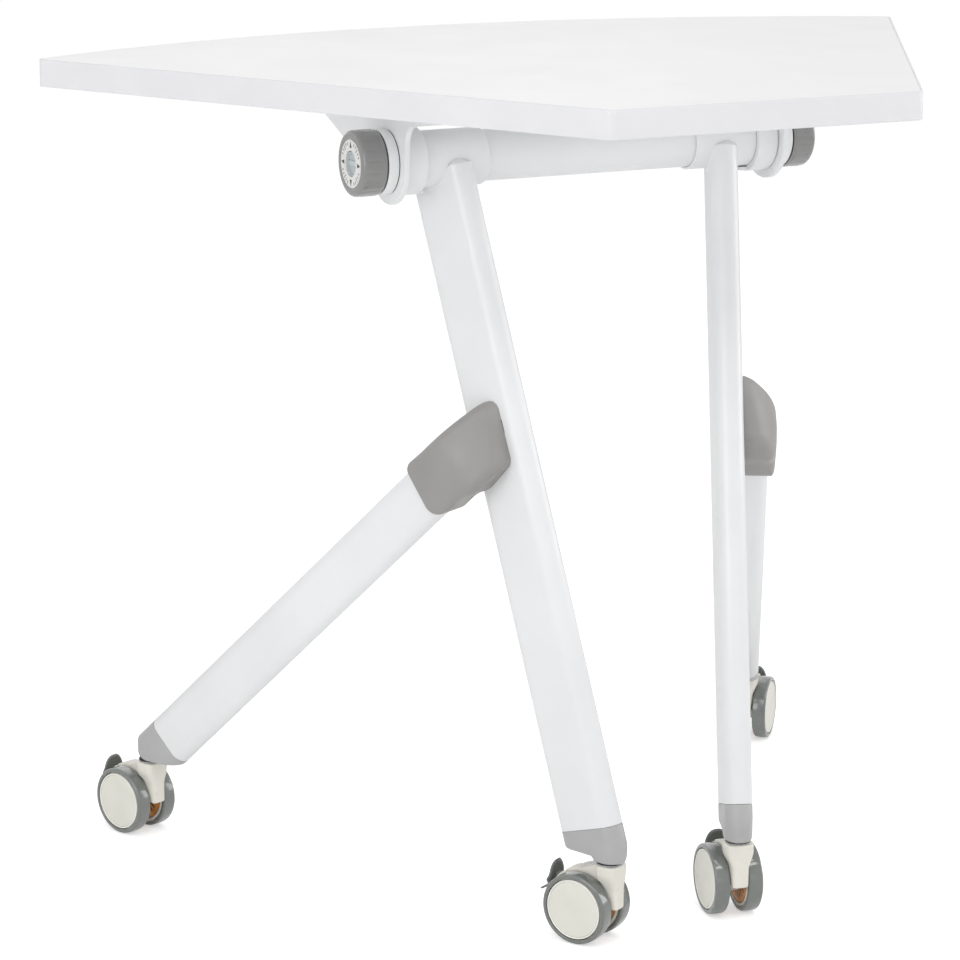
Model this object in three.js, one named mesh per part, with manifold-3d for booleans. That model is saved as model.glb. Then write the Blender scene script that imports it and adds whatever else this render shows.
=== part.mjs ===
// Flip top training table: a sector top on two brackets that turn about a round beam,
// carried by two forked legs on four braked twin wheel casters.
// Millimetres, +Z up. X runs along the beam, Y towards the round back edge, the floor is Z 0
// and the beam's axis is Y 0.

import * as THREE from 'three';
import { mergeVertices } from 'three/addons/utils/BufferGeometryUtils.js';
import Module from 'manifold-3d';

const wasm = await Module();
wasm.setup();

// Clearances
const SEAT_GAP = 0.3;
const GLUE_GAP = 0.2;

// Top: a 60 degree sector board with a banded edge
const TABLE_HEIGHT = 750;
const TOP_THICKNESS = 24;
const TOP_DEPTH = 625;
const TOP_AHEAD = 10;
const TOP_CHORD = 880;
const BACK_RADIUS = 920;
const SIDE_ANGLE = 30;
const CORNER_RADIUS = 8;
const BAND_THICKNESS = 2;
const BAND_ROUND = 1.5;

// Beam and its end stack, from the leg outwards
const BEAM_DROP = 56;
const BEAM_RADIUS = 22.5;
const BEAM_WALL = 2;
const SLEEVE_WALL = 2.2;
const SLEEVE_INBOARD = 37.5;
const SLEEVE_OUTBOARD = 23.5;
const HUB_LENGTH = 20.4;
const HUB_LIP = 5;
const HUB_BOSS_RADIUS = 14.7;
const HUB_TONGUE_LENGTH = 7;
const HUB_TONGUE_WIDTH = 16;
const HUB_TONGUE_HEIGHT = 3.2;
const ROD_RADIUS = 6;
const PLUG_LENGTH = 24;
const COLLAR_THICKNESS = 10.5;
const COLLAR_RADIUS = 28;
const KNOB_LENGTH = 23.2;
const KNOB_RADIUS = 28.8;
const KNOB_ROUND = 4;
const KNOB_GRIP_DEPTH = 15.5;
const KNOB_WELL_RADIUS = 10.8;
const KNOB_WELL_DEPTH = 4.5;
const KNOB_BAR_WIDTH = 4.4;
const DIAL_RADIUS = 21;
const DIAL_THICKNESS = 0.8;

// Brackets: a round eye below two long arms and a flange
const BRACKET_THICKNESS = 5;
const EYE_RADIUS = 37.6;
const FRONT_ARM = 150;
const BACK_ARM = 200;
const ARM_TIP = 5;
const FRONT_ARM_SLOPE = 8.5;
const BACK_ARM_SLOPE = 20.8;
const ARM_FILLET = 18;
const FLANGE_WIDTH = 35;
const FLANGE_THICKNESS = 4.5;

// Forked legs: flat oval tubes
const LEG_SPREAD = 140;
const LEG_PLAN_ANGLE = 22;
const LEG_WIDTH = 64;
const LEG_THICKNESS = 25;
const LEG_WALL = 2;
const LEG_REACH = 191;
const LEG_TOP_CUT = 10;
const REAR_PLAN_ANGLE = 30;
const REAR_WIDTH = 50;
const REAR_THICKNESS = 25;
const REAR_WALL = 2;
const REAR_REACH = 378.9;
const REAR_TOP_START = 14;
const JOINT_HEIGHT = 434.8;
const LAP_GAP = 2;

// Moulded covers over the lap joints
const COVER_MOUTH = 80;
const COVER_WALL = 2.6;
const COVER_CROWN = 6;
const COVER_HEEL = 27;
const COVER_HEEL_SLANT = 23;
const COVER_DROP = 5;
const COVER_ROUND = 9;
const COVER_EDGE = 5;
const COVER_SHOULDER = 16;
const COVER_SHOULDER_ROUND = 14;
const COVER_HEEL_EDGE = 3;

// Foot caps
const FRONT_CAP_HEIGHT = 28.5;
const FRONT_CAP_NOSE = 12;
const FRONT_CAP_HEEL = 8;
const FRONT_CAP_STEP = 7;
const FRONT_CAP_STEP_ROUND = 1.5;
const FRONT_BOSS_RADIUS = 13;
const FRONT_STEM_AHEAD = 11;
const REAR_CAP_LENGTH = 36.7;
const REAR_CAP_BACK = 13.5;
const REAR_CAP_ROUND = 5;
const SPIGOT_LENGTH = 22;

// Casters, drawn with the stem on the Z axis and the wheels trailing along +X
const WHEEL_RADIUS = 32;
const WHEEL_WIDTH = 14;
const WHEEL_SPACING = 17;
const TREAD_SEAT_RADIUS = 27.8;
const TREAD_SHOULDER = 3.5;
const CORE_RECESS_RADIUS = 24.5;
const CORE_RECESS_DEPTH = 2.6;
const CORE_HUB_RADIUS = 9;
const AXLE_RADIUS = 4;
const AXLE_COVER = 3;
const TRAIL = 23;
const HOOD_RISE = 2;
const HOOD_SIDE_GAP = 0.5;
const NECK_RADIUS = 12.5;
const NECK_RISE = 6;
const NECK_DROP = 2;
const NECK_SHOULDER_HIGH = 6;
const NECK_SHOULDER_LOW = 21;
const NECK_EDGE = 1;
const NECK_TOE = 2;
const AXLE_BOSS_RADIUS = 13;
const HOOD_TAIL_ANGLE = 14;
const WHEEL_CLEARANCE = 1.2;
const STEM_RADIUS = 5.5;
const STEM_IN_CAP = 20;
const STEM_IN_HOOD = 16;
const WASHER_RADIUS = 9.5;
const WASHER_THICKNESS = 2.4;
const PEDAL_GAP = 4;
const PEDAL_THICKNESS = 4;
const PEDAL_WIDTH = 27;
const PEDAL_LOW_ANGLE = 4;
const PEDAL_TOP_ANGLE = 48;
const PEDAL_FLARE = 6;
const PEDAL_TOE_WIDTH = 9;
const PEDAL_LOBE_ROUND = 12;
const TONGUE_WIDTH = 8;
const TONGUE_GAP = 0.4;
const PIVOT_RADIUS = 2.5;
const PIVOT_ANGLE = 30;
const PIVOT_DEPTH = 4;
const PIVOT_EYE_RADIUS = 5;

// Which way each caster trails at rest, in degrees from +X
const CASTER_TRAIL_ANGLES = { front_left: 120, rear_left: 111, front_right: 80, rear_right: 48 };

// Facets
const ROUND_SEGMENTS = 24;
const WHEEL_SEGMENTS = 16;
const SMALL_SEGMENTS = 12;
const ARC_DIVISIONS = 3;
const BACK_ARC_PIECES = 4;

// Places that follow from the sizes above
const BEAM_HEIGHT = TABLE_HEIGHT - TOP_THICKNESS - BEAM_DROP;
const SLEEVE_BORE = BEAM_RADIUS + SEAT_GAP;
const SLEEVE_RADIUS = SLEEVE_BORE + SLEEVE_WALL;
const SLEEVE_START = LEG_SPREAD - SLEEVE_INBOARD;
const SLEEVE_END = LEG_SPREAD + SLEEVE_OUTBOARD;
const HUB_START = SLEEVE_END + SEAT_GAP;
const HUB_RADIUS = SLEEVE_RADIUS + HUB_LIP;
const BRACKET_START = HUB_START + HUB_LENGTH + SEAT_GAP;
const COLLAR_START = BRACKET_START + BRACKET_THICKNESS + SEAT_GAP;
const KNOB_START = COLLAR_START + COLLAR_THICKNESS + SEAT_GAP;
const KNOB_END = KNOB_START + KNOB_LENGTH;
const ROD_BORE = ROD_RADIUS + SEAT_GAP;
const FLANGE_TOP = BEAM_DROP - SEAT_GAP;
const HOOD_TOP = 2 * WHEEL_RADIUS + NECK_RISE;
const HOOD_BACK_RADIUS = WHEEL_RADIUS + HOOD_RISE;
const FOOT_HEIGHT = HOOD_TOP + WASHER_THICKNESS + 2 * SEAT_GAP;
const HOOD_HALF_WIDTH = WHEEL_SPACING / 2 - HOOD_SIDE_GAP;

const rad = THREE.MathUtils.degToRad;
const vector = (x, y, z) => new THREE.Vector3(x, y, z);
const X_AXIS = vector(1, 0, 0);
const Y_AXIS = vector(0, 1, 0);
const Z_AXIS = vector(0, 0, 1);

// Bare triangles with shared corners and outward faces
function body(geometry) {
  geometry.deleteAttribute('normal');
  geometry.deleteAttribute('uv');
  const merged = mergeVertices(geometry, 1e-4);
  if (signedVolume(merged) < 0) turnInsideOut(merged);
  return merged;
}

function signedVolume(geometry) {
  const { position } = geometry.attributes;
  const index = geometry.index.array;
  const corners = [vector(0, 0, 0), vector(0, 0, 0), vector(0, 0, 0)];
  let sum = 0;
  for (let i = 0; i < index.length; i += 3) {
    corners.forEach((corner, k) => corner.fromBufferAttribute(position, index[i + k]));
    sum += corners[0].dot(corners[1].clone().cross(corners[2]));
  }
  return sum / 6;
}

function turnInsideOut(geometry) {
  const index = geometry.index.array;
  for (let i = 0; i < index.length; i += 3) {
    [index[i], index[i + 1]] = [index[i + 1], index[i]];
  }
}

function solid(geometry) {
  const merged = body(geometry);
  const vertProperties = new Float32Array(merged.attributes.position.array);
  const triVerts = new Uint32Array(merged.index.array);
  return new wasm.Manifold(new wasm.Mesh({ numProp: 3, vertProperties, triVerts }));
}

function fromSolid(manifold) {
  const { vertProperties, triVerts } = manifold.getMesh();
  const geometry = new THREE.BufferGeometry();
  geometry.setAttribute('position', new THREE.BufferAttribute(vertProperties, 3));
  geometry.setIndex(new THREE.BufferAttribute(triVerts, 1));
  return geometry;
}

// Moves a geometry from its own axes to the given ones
function intoFrame(geometry, origin, xAxis, yAxis, zAxis) {
  return geometry.applyMatrix4(new THREE.Matrix4().makeBasis(xAxis, yAxis, zAxis).setPosition(origin));
}

function extrude(shape, depth, curveSegments = ARC_DIVISIONS) {
  return new THREE.ExtrudeGeometry(shape, { depth, curveSegments, bevelEnabled: false });
}

// Extrudes an outline drawn in Y and Z along X, centred on x
function extrudeAlongX(shape, width, x = 0, curveSegments = ARC_DIVISIONS) {
  const bar = extrude(shape, width, curveSegments);
  return intoFrame(bar, vector(x - width / 2, 0, 0), Y_AXIS, Z_AXIS, X_AXIS);
}

// Extrudes an outline drawn in X and Z along Y, centred on y
function extrudeAlongY(shape, width, y = 0) {
  const backwards = Y_AXIS.clone().negate();
  return intoFrame(extrude(shape, width), vector(0, y + width / 2, 0), X_AXIS, Z_AXIS, backwards);
}

// Revolves [radius, height] points about the Z axis
function revolve(points, segments = ROUND_SEGMENTS) {
  const profile = points.map(([r, z]) => new THREE.Vector2(r, z));
  return new THREE.LatheGeometry(profile, segments).rotateX(Math.PI / 2);
}

// Revolves [radius, x] points about the X axis
function revolveAlongX(points, segments = ROUND_SEGMENTS) {
  return revolve(points, segments).rotateY(Math.PI / 2);
}

function rod(radius, from, to, segments = SMALL_SEGMENTS) {
  return revolve([[0, from], [radius, from], [radius, to], [0, to]], segments);
}

function rodAlongX(radius, from, to) {
  return rod(radius, from, to, ROUND_SEGMENTS).rotateY(Math.PI / 2);
}

function ring(inner, outer, from, to) {
  return [[inner, from], [outer, from], [outer, to], [inner, to], [inner, from]];
}

function polar(centre, radius, degrees) {
  const angle = rad(degrees);
  return [centre[0] + radius * Math.cos(angle), centre[1] + radius * Math.sin(angle)];
}

// A closed outline whose corners [x, y, radius] are rounded off
function roundedOutline(corners) {
  const shape = new THREE.Shape();
  corners.forEach(([x, y, radius = 0], i) => {
    const corner = new THREE.Vector2(x, y);
    const towards = (other) => {
      const away = new THREE.Vector2(other[0], other[1]).sub(corner);
      return corner.clone().addScaledVector(away, Math.min(radius / away.length(), 0.5));
    };
    const start = towards(corners.at(i - 1));
    const end = towards(corners[(i + 1) % corners.length]);
    if (i === 0) shape.moveTo(start.x, start.y);
    else shape.lineTo(start.x, start.y);
    if (radius > 0) shape.quadraticCurveTo(x, y, end.x, end.y);
  });
  shape.closePath();
  return shape;
}

// A flat oval: two half rounds joined by straight sides, its width along X
function oval(width, thickness, inset = 0) {
  const radius = thickness / 2 - inset;
  const reach = (width - thickness) / 2;
  const shape = new THREE.Shape();
  shape.absarc(reach, 0, radius, -Math.PI / 2, Math.PI / 2, false);
  shape.absarc(-reach, 0, radius, Math.PI / 2, 1.5 * Math.PI, false);
  shape.closePath();
  return shape;
}

function ovalTube(width, thickness, wall) {
  const shape = oval(width, thickness);
  shape.holes.push(oval(width, thickness, wall));
  return shape;
}

function piece(name, geometry, finish) {
  const mesh = new THREE.Mesh(geometry, new THREE.MeshStandardMaterial(finish));
  mesh.name = name;
  return mesh;
}

const FINISHES = {
  laminate: { color: 0xf3f3f2, roughness: 0.45, metalness: 0 },
  band: { color: 0xe9e9e8, roughness: 0.5, metalness: 0 },
  whitePaint: { color: 0xe8e9ea, roughness: 0.4, metalness: 0 },
  greyPlastic: { color: 0xa9a8a8, roughness: 0.5, metalness: 0 },
  darkGrey: { color: 0x80807c, roughness: 0.45, metalness: 0 },
  tread: { color: 0x808480, roughness: 0.35, metalness: 0 },
  cream: { color: 0xdfded4, roughness: 0.45, metalness: 0 },
  ivory: { color: 0xe4e2d8, roughness: 0.45, metalness: 0 },
  dialWhite: { color: 0xeeeeee, roughness: 0.5, metalness: 0 },
  zinc: { color: 0xb9bbbd, roughness: 0.35, metalness: 1 },
};

// The sector outline, drawn in by inset all round, with concentric corner rounds
function topOutline(inset) {
  const centreY = TOP_DEPTH / 2 - BACK_RADIUS;
  const slant = rad(SIDE_ANGLE);
  const arcHeight = Math.sqrt(BACK_RADIUS ** 2 - (TOP_CHORD / 2) ** 2);
  const backCorner = new THREE.Vector2(TOP_CHORD / 2, centreY + arcHeight);
  const outward = new THREE.Vector2(Math.cos(slant), -Math.sin(slant));
  const along = new THREE.Vector2(Math.sin(slant), Math.cos(slant));
  const guide = backCorner.clone().addScaledVector(outward, -CORNER_RADIUS);
  const frontY = CORNER_RADIUS - TOP_DEPTH / 2;
  const front = guide.clone().addScaledVector(along, (frontY - guide.y) / along.y);
  const fromCentre = guide.clone().sub(new THREE.Vector2(0, centreY));
  const half = fromCentre.dot(along);
  const reach = Math.sqrt(half ** 2 - fromCentre.lengthSq() + (BACK_RADIUS - CORNER_RADIUS) ** 2) - half;
  const back = guide.clone().addScaledVector(along, reach);
  const backAngle = Math.atan2(back.y - centreY, back.x);
  const radius = CORNER_RADIUS - inset;
  const shape = new THREE.Shape();
  shape.absarc(front.x, front.y, radius, -Math.PI / 2, -slant, false);
  shape.absarc(back.x, back.y, radius, -slant, backAngle, false);
  const sweep = (Math.PI - 2 * backAngle) / BACK_ARC_PIECES;
  for (let i = 0; i < BACK_ARC_PIECES; i += 1) {
    const start = backAngle + i * sweep;
    shape.absarc(0, centreY, BACK_RADIUS - inset, start, start + sweep, false);
  }
  shape.absarc(-back.x, back.y, radius, Math.PI - backAngle, Math.PI + slant, false);
  shape.absarc(-front.x, front.y, radius, Math.PI + slant, 1.5 * Math.PI, false);
  shape.closePath();
  return shape;
}

function topPanel() {
  const board = extrude(topOutline(BAND_THICKNESS + GLUE_GAP), TOP_THICKNESS);
  return piece('top_panel', body(board), FINISHES.laminate);
}

function edgeBand() {
  const outside = new THREE.ExtrudeGeometry(topOutline(0), {
    depth: TOP_THICKNESS - 2 * BAND_ROUND,
    curveSegments: ARC_DIVISIONS,
    bevelThickness: BAND_ROUND,
    bevelSize: BAND_ROUND,
    bevelOffset: -BAND_ROUND,
    bevelSegments: 1,
  }).translate(0, 0, BAND_ROUND);
  const inside = extrude(topOutline(BAND_THICKNESS), 3 * TOP_THICKNESS).translate(0, 0, -TOP_THICKNESS);
  return piece('edge_band', fromSolid(solid(outside).subtract(solid(inside))), FINISHES.band);
}

function makeTop() {
  const group = new THREE.Group();
  group.position.set(0, -TOP_AHEAD, TABLE_HEIGHT - TOP_THICKNESS);
  group.add(topPanel(), edgeBand());
  return group;
}

// The bracket in side view about the beam axis: eye, filleted front arm and straight back arm
function bracketOutline() {
  const tip = FLANGE_TOP - ARM_TIP;
  const rise = Math.tan(rad(FRONT_ARM_SLOPE));
  const undersideAt = (y) => tip - (FRONT_ARM + y) * rise;
  const filletY = -EYE_RADIUS - ARM_FILLET;
  const filletZ = undersideAt(filletY) - ARM_FILLET / Math.cos(rad(FRONT_ARM_SLOPE));
  const backFall = Math.tan(rad(BACK_ARM_SLOPE));
  const meetAngle = -rad(BACK_ARM_SLOPE);
  const meet = [EYE_RADIUS * Math.cos(meetAngle), EYE_RADIUS * Math.sin(meetAngle)];
  const shape = new THREE.Shape();
  shape.moveTo(-FRONT_ARM, FLANGE_TOP);
  shape.lineTo(-FRONT_ARM, tip);
  shape.absarc(filletY, filletZ, ARM_FILLET, Math.PI / 2 + rad(FRONT_ARM_SLOPE), 0, true);
  shape.absarc(0, 0, EYE_RADIUS, Math.PI, 2 * Math.PI + meetAngle, false);
  shape.lineTo(BACK_ARM, Math.min(meet[1] + (BACK_ARM - meet[0]) * backFall, tip));
  shape.lineTo(BACK_ARM, FLANGE_TOP);
  shape.closePath();
  return shape;
}

function bracket(side) {
  const middle = side.sign * (BRACKET_START + BRACKET_THICKNESS / 2);
  const plate = extrudeAlongX(bracketOutline(), BRACKET_THICKNESS, middle, 2 * ARC_DIVISIONS);
  const boreRadius = HUB_BOSS_RADIUS + SEAT_GAP;
  const bore = rodAlongX(boreRadius, -KNOB_END, KNOB_END);
  const flangeOutline = roundedOutline([
    [-FRONT_ARM, FLANGE_TOP - FLANGE_THICKNESS],
    [BACK_ARM, FLANGE_TOP - FLANGE_THICKNESS],
    [BACK_ARM, FLANGE_TOP],
    [-FRONT_ARM, FLANGE_TOP],
  ]);
  const flangeMiddle = side.sign * (BRACKET_START + BRACKET_THICKNESS - FLANGE_WIDTH / 2);
  const flange = extrudeAlongX(flangeOutline, FLANGE_WIDTH, flangeMiddle);
  const shape = solid(plate).add(solid(flange)).subtract(solid(bore));
  return piece(`bracket_${side.name}`, fromSolid(shape), FINISHES.whitePaint);
}

function beamTube() {
  const tube = revolveAlongX(ring(BEAM_RADIUS - BEAM_WALL, BEAM_RADIUS, -SLEEVE_END, SLEEVE_END));
  return piece('beam_tube', body(tube), FINISHES.whitePaint);
}

function sleeve(side) {
  const tube = revolveAlongX(ring(SLEEVE_BORE, SLEEVE_RADIUS, SLEEVE_START, SLEEVE_END));
  return piece(`leg_sleeve_${side.name}`, body(tube), FINISHES.whitePaint);
}

// The hub carries the bracket on its boss; a tongue below keys it to the leg
function hub(side) {
  const bossEnd = COLLAR_START - 2 * SEAT_GAP;
  const turned = revolveAlongX([
    [ROD_BORE, HUB_START], [HUB_RADIUS, HUB_START], [HUB_RADIUS, HUB_START + HUB_LENGTH],
    [HUB_BOSS_RADIUS, HUB_START + HUB_LENGTH], [HUB_BOSS_RADIUS, bossEnd], [ROD_BORE, bossEnd],
    [ROD_BORE, HUB_START],
  ]);
  const low = -SLEEVE_RADIUS - SEAT_GAP - HUB_TONGUE_HEIGHT;
  const tongueOutline = roundedOutline([
    [HUB_START - HUB_TONGUE_LENGTH, low, 1.5],
    [HUB_START + HUB_LENGTH / 2, low, 0],
    [HUB_START + HUB_LENGTH / 2, low + HUB_TONGUE_HEIGHT, 0],
    [HUB_START - HUB_TONGUE_LENGTH, low + HUB_TONGUE_HEIGHT, 0],
  ]);
  const tongue = extrudeAlongY(tongueOutline, HUB_TONGUE_WIDTH);
  return piece(`pivot_hub_${side.name}`, fromSolid(solid(turned).add(solid(tongue))), FINISHES.whitePaint);
}

// A plug in the beam's end with the threaded rod that the knob runs on
function clampRod(side) {
  const plugRadius = BEAM_RADIUS - BEAM_WALL - SEAT_GAP;
  const turned = revolveAlongX([
    [0, SLEEVE_END - PLUG_LENGTH], [plugRadius, SLEEVE_END - PLUG_LENGTH], [plugRadius, SLEEVE_END],
    [ROD_RADIUS, SLEEVE_END], [ROD_RADIUS, KNOB_START + KNOB_GRIP_DEPTH], [0, KNOB_START + KNOB_GRIP_DEPTH],
  ], SMALL_SEGMENTS);
  return piece(`clamp_rod_${side.name}`, body(turned), FINISHES.zinc);
}

function collar(side) {
  const end = COLLAR_START + COLLAR_THICKNESS;
  const turned = revolveAlongX(ring(ROD_BORE, COLLAR_RADIUS, COLLAR_START, end));
  return piece(`clamp_collar_${side.name}`, body(turned), FINISHES.whitePaint);
}

// The knob: round rim, a seat for the dial and a well with a finger bar
function knob(side) {
  const gripEnd = KNOB_START + KNOB_GRIP_DEPTH + SEAT_GAP;
  const dialSeat = KNOB_END - DIAL_THICKNESS - SEAT_GAP;
  const rim = new THREE.Path();
  rim.absarc(KNOB_END - KNOB_ROUND, KNOB_RADIUS - KNOB_ROUND, KNOB_ROUND, Math.PI / 2, 0, true);
  const rimPoints = rim.getPoints(1).map(({ x, y }) => [y, x]);
  const turned = revolveAlongX([
    [0, gripEnd], [ROD_BORE, gripEnd], [ROD_BORE, KNOB_START], [KNOB_RADIUS, KNOB_START], ...rimPoints,
    [DIAL_RADIUS + SEAT_GAP, KNOB_END], [DIAL_RADIUS + SEAT_GAP, dialSeat], [KNOB_WELL_RADIUS, dialSeat],
    [KNOB_WELL_RADIUS, KNOB_END - KNOB_WELL_DEPTH], [0, KNOB_END - KNOB_WELL_DEPTH],
  ]);
  const barOutline = roundedOutline([
    [-KNOB_BAR_WIDTH / 2, -KNOB_WELL_RADIUS - 1], [KNOB_BAR_WIDTH / 2, -KNOB_WELL_RADIUS - 1],
    [KNOB_BAR_WIDTH / 2, KNOB_WELL_RADIUS + 1], [-KNOB_BAR_WIDTH / 2, KNOB_WELL_RADIUS + 1],
  ]);
  const barDepth = KNOB_WELL_DEPTH / 2 + 1;
  const bar = extrudeAlongX(barOutline, barDepth, KNOB_END - KNOB_WELL_DEPTH - 1 + barDepth / 2);
  return piece(`lock_knob_${side.name}`, fromSolid(solid(turned).add(solid(bar))), FINISHES.darkGrey);
}

function dial(side) {
  const face = KNOB_END - DIAL_THICKNESS;
  const turned = revolveAlongX(ring(KNOB_WELL_RADIUS + SEAT_GAP, DIAL_RADIUS, face, KNOB_END));
  return piece(`knob_dial_${side.name}`, body(turned), FINISHES.dialWhite);
}

function makeBeam() {
  const group = new THREE.Group();
  group.position.z = BEAM_HEIGHT;
  group.add(beamTube());
  for (const side of SIDES) {
    const end = new THREE.Group();
    end.rotation.z = side.sign > 0 ? 0 : Math.PI;
    end.add(sleeve(side), hub(side), clampRod(side), collar(side), knob(side), dial(side));
    group.add(bracket(side), end);
  }
  return group;
}

// The axes of one forked leg in its own group: X across the leg, outwards on side.sign
function legFrames(side) {
  const legRise = BEAM_HEIGHT - FOOT_HEIGHT;
  const lean = Math.atan2(LEG_REACH, legRise);
  const front = {
    foot: vector(0, -LEG_REACH, FOOT_HEIGHT),
    up: vector(0, Math.sin(lean), Math.cos(lean)),
    back: vector(0, Math.cos(lean), -Math.sin(lean)),
    across: vector(-1, 0, 0),
    length: Math.hypot(LEG_REACH, legRise),
    lean,
  };
  const jointY = -LEG_REACH * (BEAM_HEIGHT - JOINT_HEIGHT) / legRise;
  const lap = (LEG_THICKNESS + REAR_THICKNESS) / 2 + LAP_GAP;
  const splay = rad(REAR_PLAN_ANGLE - LEG_PLAN_ANGLE);
  const level = vector(side.sign * Math.sin(splay), Math.cos(splay), 0);
  const drop = JOINT_HEIGHT - FOOT_HEIGHT;
  const slope = Math.atan2(drop, REAR_REACH);
  const joint = vector(side.sign * lap, jointY, JOINT_HEIGHT);
  const down = level.clone().multiplyScalar(Math.cos(slope)).addScaledVector(Z_AXIS, -Math.sin(slope));
  const up = level.clone().multiplyScalar(Math.sin(slope)).addScaledVector(Z_AXIS, Math.cos(slope));
  const outward = vector(side.sign * Math.cos(splay), -Math.sin(splay), 0);
  const rear = { joint, level, down, up, outward, slope, length: Math.hypot(drop, REAR_REACH) };
  rear.foot = joint.clone().addScaledVector(down, rear.length);
  return { front, rear };
}

// A length of flat oval along the front leg, measured up from its foot
function alongFrontLeg(shape, front, from, to) {
  const start = front.foot.clone().addScaledVector(front.up, from);
  return intoFrame(extrude(shape, to - from), start, front.back, front.across, front.up);
}

// A length of flat oval along the rear leg, measured down from the joint
function alongRearLeg(shape, rear, from, to) {
  const start = rear.joint.clone().addScaledVector(rear.down, from);
  return intoFrame(extrude(shape, to - from), start, rear.up, rear.outward, rear.down);
}

// Where the caps' seams lie: up from the front foot, down from the joint
const frontSeam = (front) => FRONT_CAP_HEIGHT / Math.cos(front.lean);
const rearSeam = (rear) => rear.length - REAR_CAP_LENGTH;

function frontLeg(side, { front }) {
  const section = ovalTube(LEG_WIDTH, LEG_THICKNESS, LEG_WALL);
  const tube = alongFrontLeg(section, front, frontSeam(front) + SEAT_GAP, front.length - LEG_TOP_CUT);
  const saddle = rodAlongX(SLEEVE_RADIUS + SEAT_GAP, -2 * LEG_WIDTH, 2 * LEG_WIDTH)
    .rotateZ(side.sign * rad(LEG_PLAN_ANGLE))
    .translate(0, 0, BEAM_HEIGHT);
  const shape = solid(tube).subtract(solid(saddle));
  return piece(`front_leg_${side.name}`, fromSolid(shape), FINISHES.whitePaint);
}

// The space the front leg takes up, with its seat gap
function frontLegSpace(front) {
  const grown = oval(LEG_WIDTH + 2 * SEAT_GAP, LEG_THICKNESS + 2 * SEAT_GAP);
  return solid(alongFrontLeg(grown, front, 0, front.length));
}

function rearLeg(side, { front, rear }) {
  const shape = ovalTube(REAR_WIDTH, REAR_THICKNESS, REAR_WALL);
  const tube = alongRearLeg(shape, rear, REAR_TOP_START, rearSeam(rear) - SEAT_GAP);
  const cut = solid(tube).subtract(frontLegSpace(front));
  return piece(`rear_leg_${side.name}`, fromSolid(cut), FINISHES.whitePaint);
}

// The cover in the rear leg's plane, down the leg and up across it: a slanted heel against the
// front leg, a bulge below the lap and a rounded mouth
function coverOutline() {
  const half = REAR_WIDTH / 2 + COVER_WALL;
  const drop = -half - COVER_DROP;
  return roundedOutline([
    [COVER_MOUTH, half, COVER_ROUND],
    [COVER_ROUND - COVER_HEEL, half, COVER_ROUND],
    [-COVER_HEEL, half - COVER_ROUND, COVER_ROUND],
    [COVER_HEEL_SLANT - COVER_HEEL, drop + COVER_DROP / 2, COVER_ROUND],
    [COVER_MOUTH * 0.4, drop, COVER_ROUND],
    [COVER_MOUTH * 0.58, -half, COVER_ROUND],
    [COVER_MOUTH, -half, COVER_ROUND],
  ]);
}

// The cover from the side: full at its mouth, running down to the front leg at its heel
function coverProfile(inner, outer) {
  return roundedOutline([
    [-COVER_HEEL, -inner],
    [COVER_MOUTH, -inner],
    [COVER_MOUTH, outer],
    [COVER_SHOULDER, outer, COVER_SHOULDER_ROUND],
    [-COVER_HEEL, COVER_HEEL_EDGE - inner],
  ]);
}

function jointCover(side, { front, rear }) {
  const inner = REAR_THICKNESS / 2 + COVER_WALL;
  const outer = REAR_THICKNESS / 2 + COVER_CROWN;
  const block = new THREE.ExtrudeGeometry(coverOutline(), {
    depth: inner + outer - 2 * COVER_EDGE,
    curveSegments: ARC_DIVISIONS,
    bevelThickness: COVER_EDGE,
    bevelSize: COVER_EDGE,
    bevelOffset: -COVER_EDGE,
    bevelSegments: 1,
  }).translate(0, 0, COVER_EDGE - inner);
  const shell = solid(intoFrame(block, rear.joint, rear.down, rear.up, rear.outward));
  const start = rear.joint.clone().addScaledVector(rear.up, REAR_WIDTH);
  const across = rear.up.clone().negate();
  const profile = extrude(coverProfile(inner, outer), 2 * REAR_WIDTH);
  const sideView = solid(intoFrame(profile, start, rear.down, rear.outward, across));
  const grown = oval(REAR_WIDTH + 2 * SEAT_GAP, REAR_THICKNESS + 2 * SEAT_GAP);
  const bore = solid(alongRearLeg(grown, rear, REAR_TOP_START - SEAT_GAP, 2 * COVER_MOUTH));
  const shape = shell.intersect(sideView).subtract(bore).subtract(frontLegSpace(front));
  return piece(`joint_cover_${side.name}`, fromSolid(shape), FINISHES.greyPlastic);
}

function stemBore(foot) {
  const bore = rod(STEM_RADIUS + SEAT_GAP, -1, STEM_IN_CAP + SEAT_GAP);
  return solid(bore.translate(foot.x, foot.y, foot.z));
}

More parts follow.
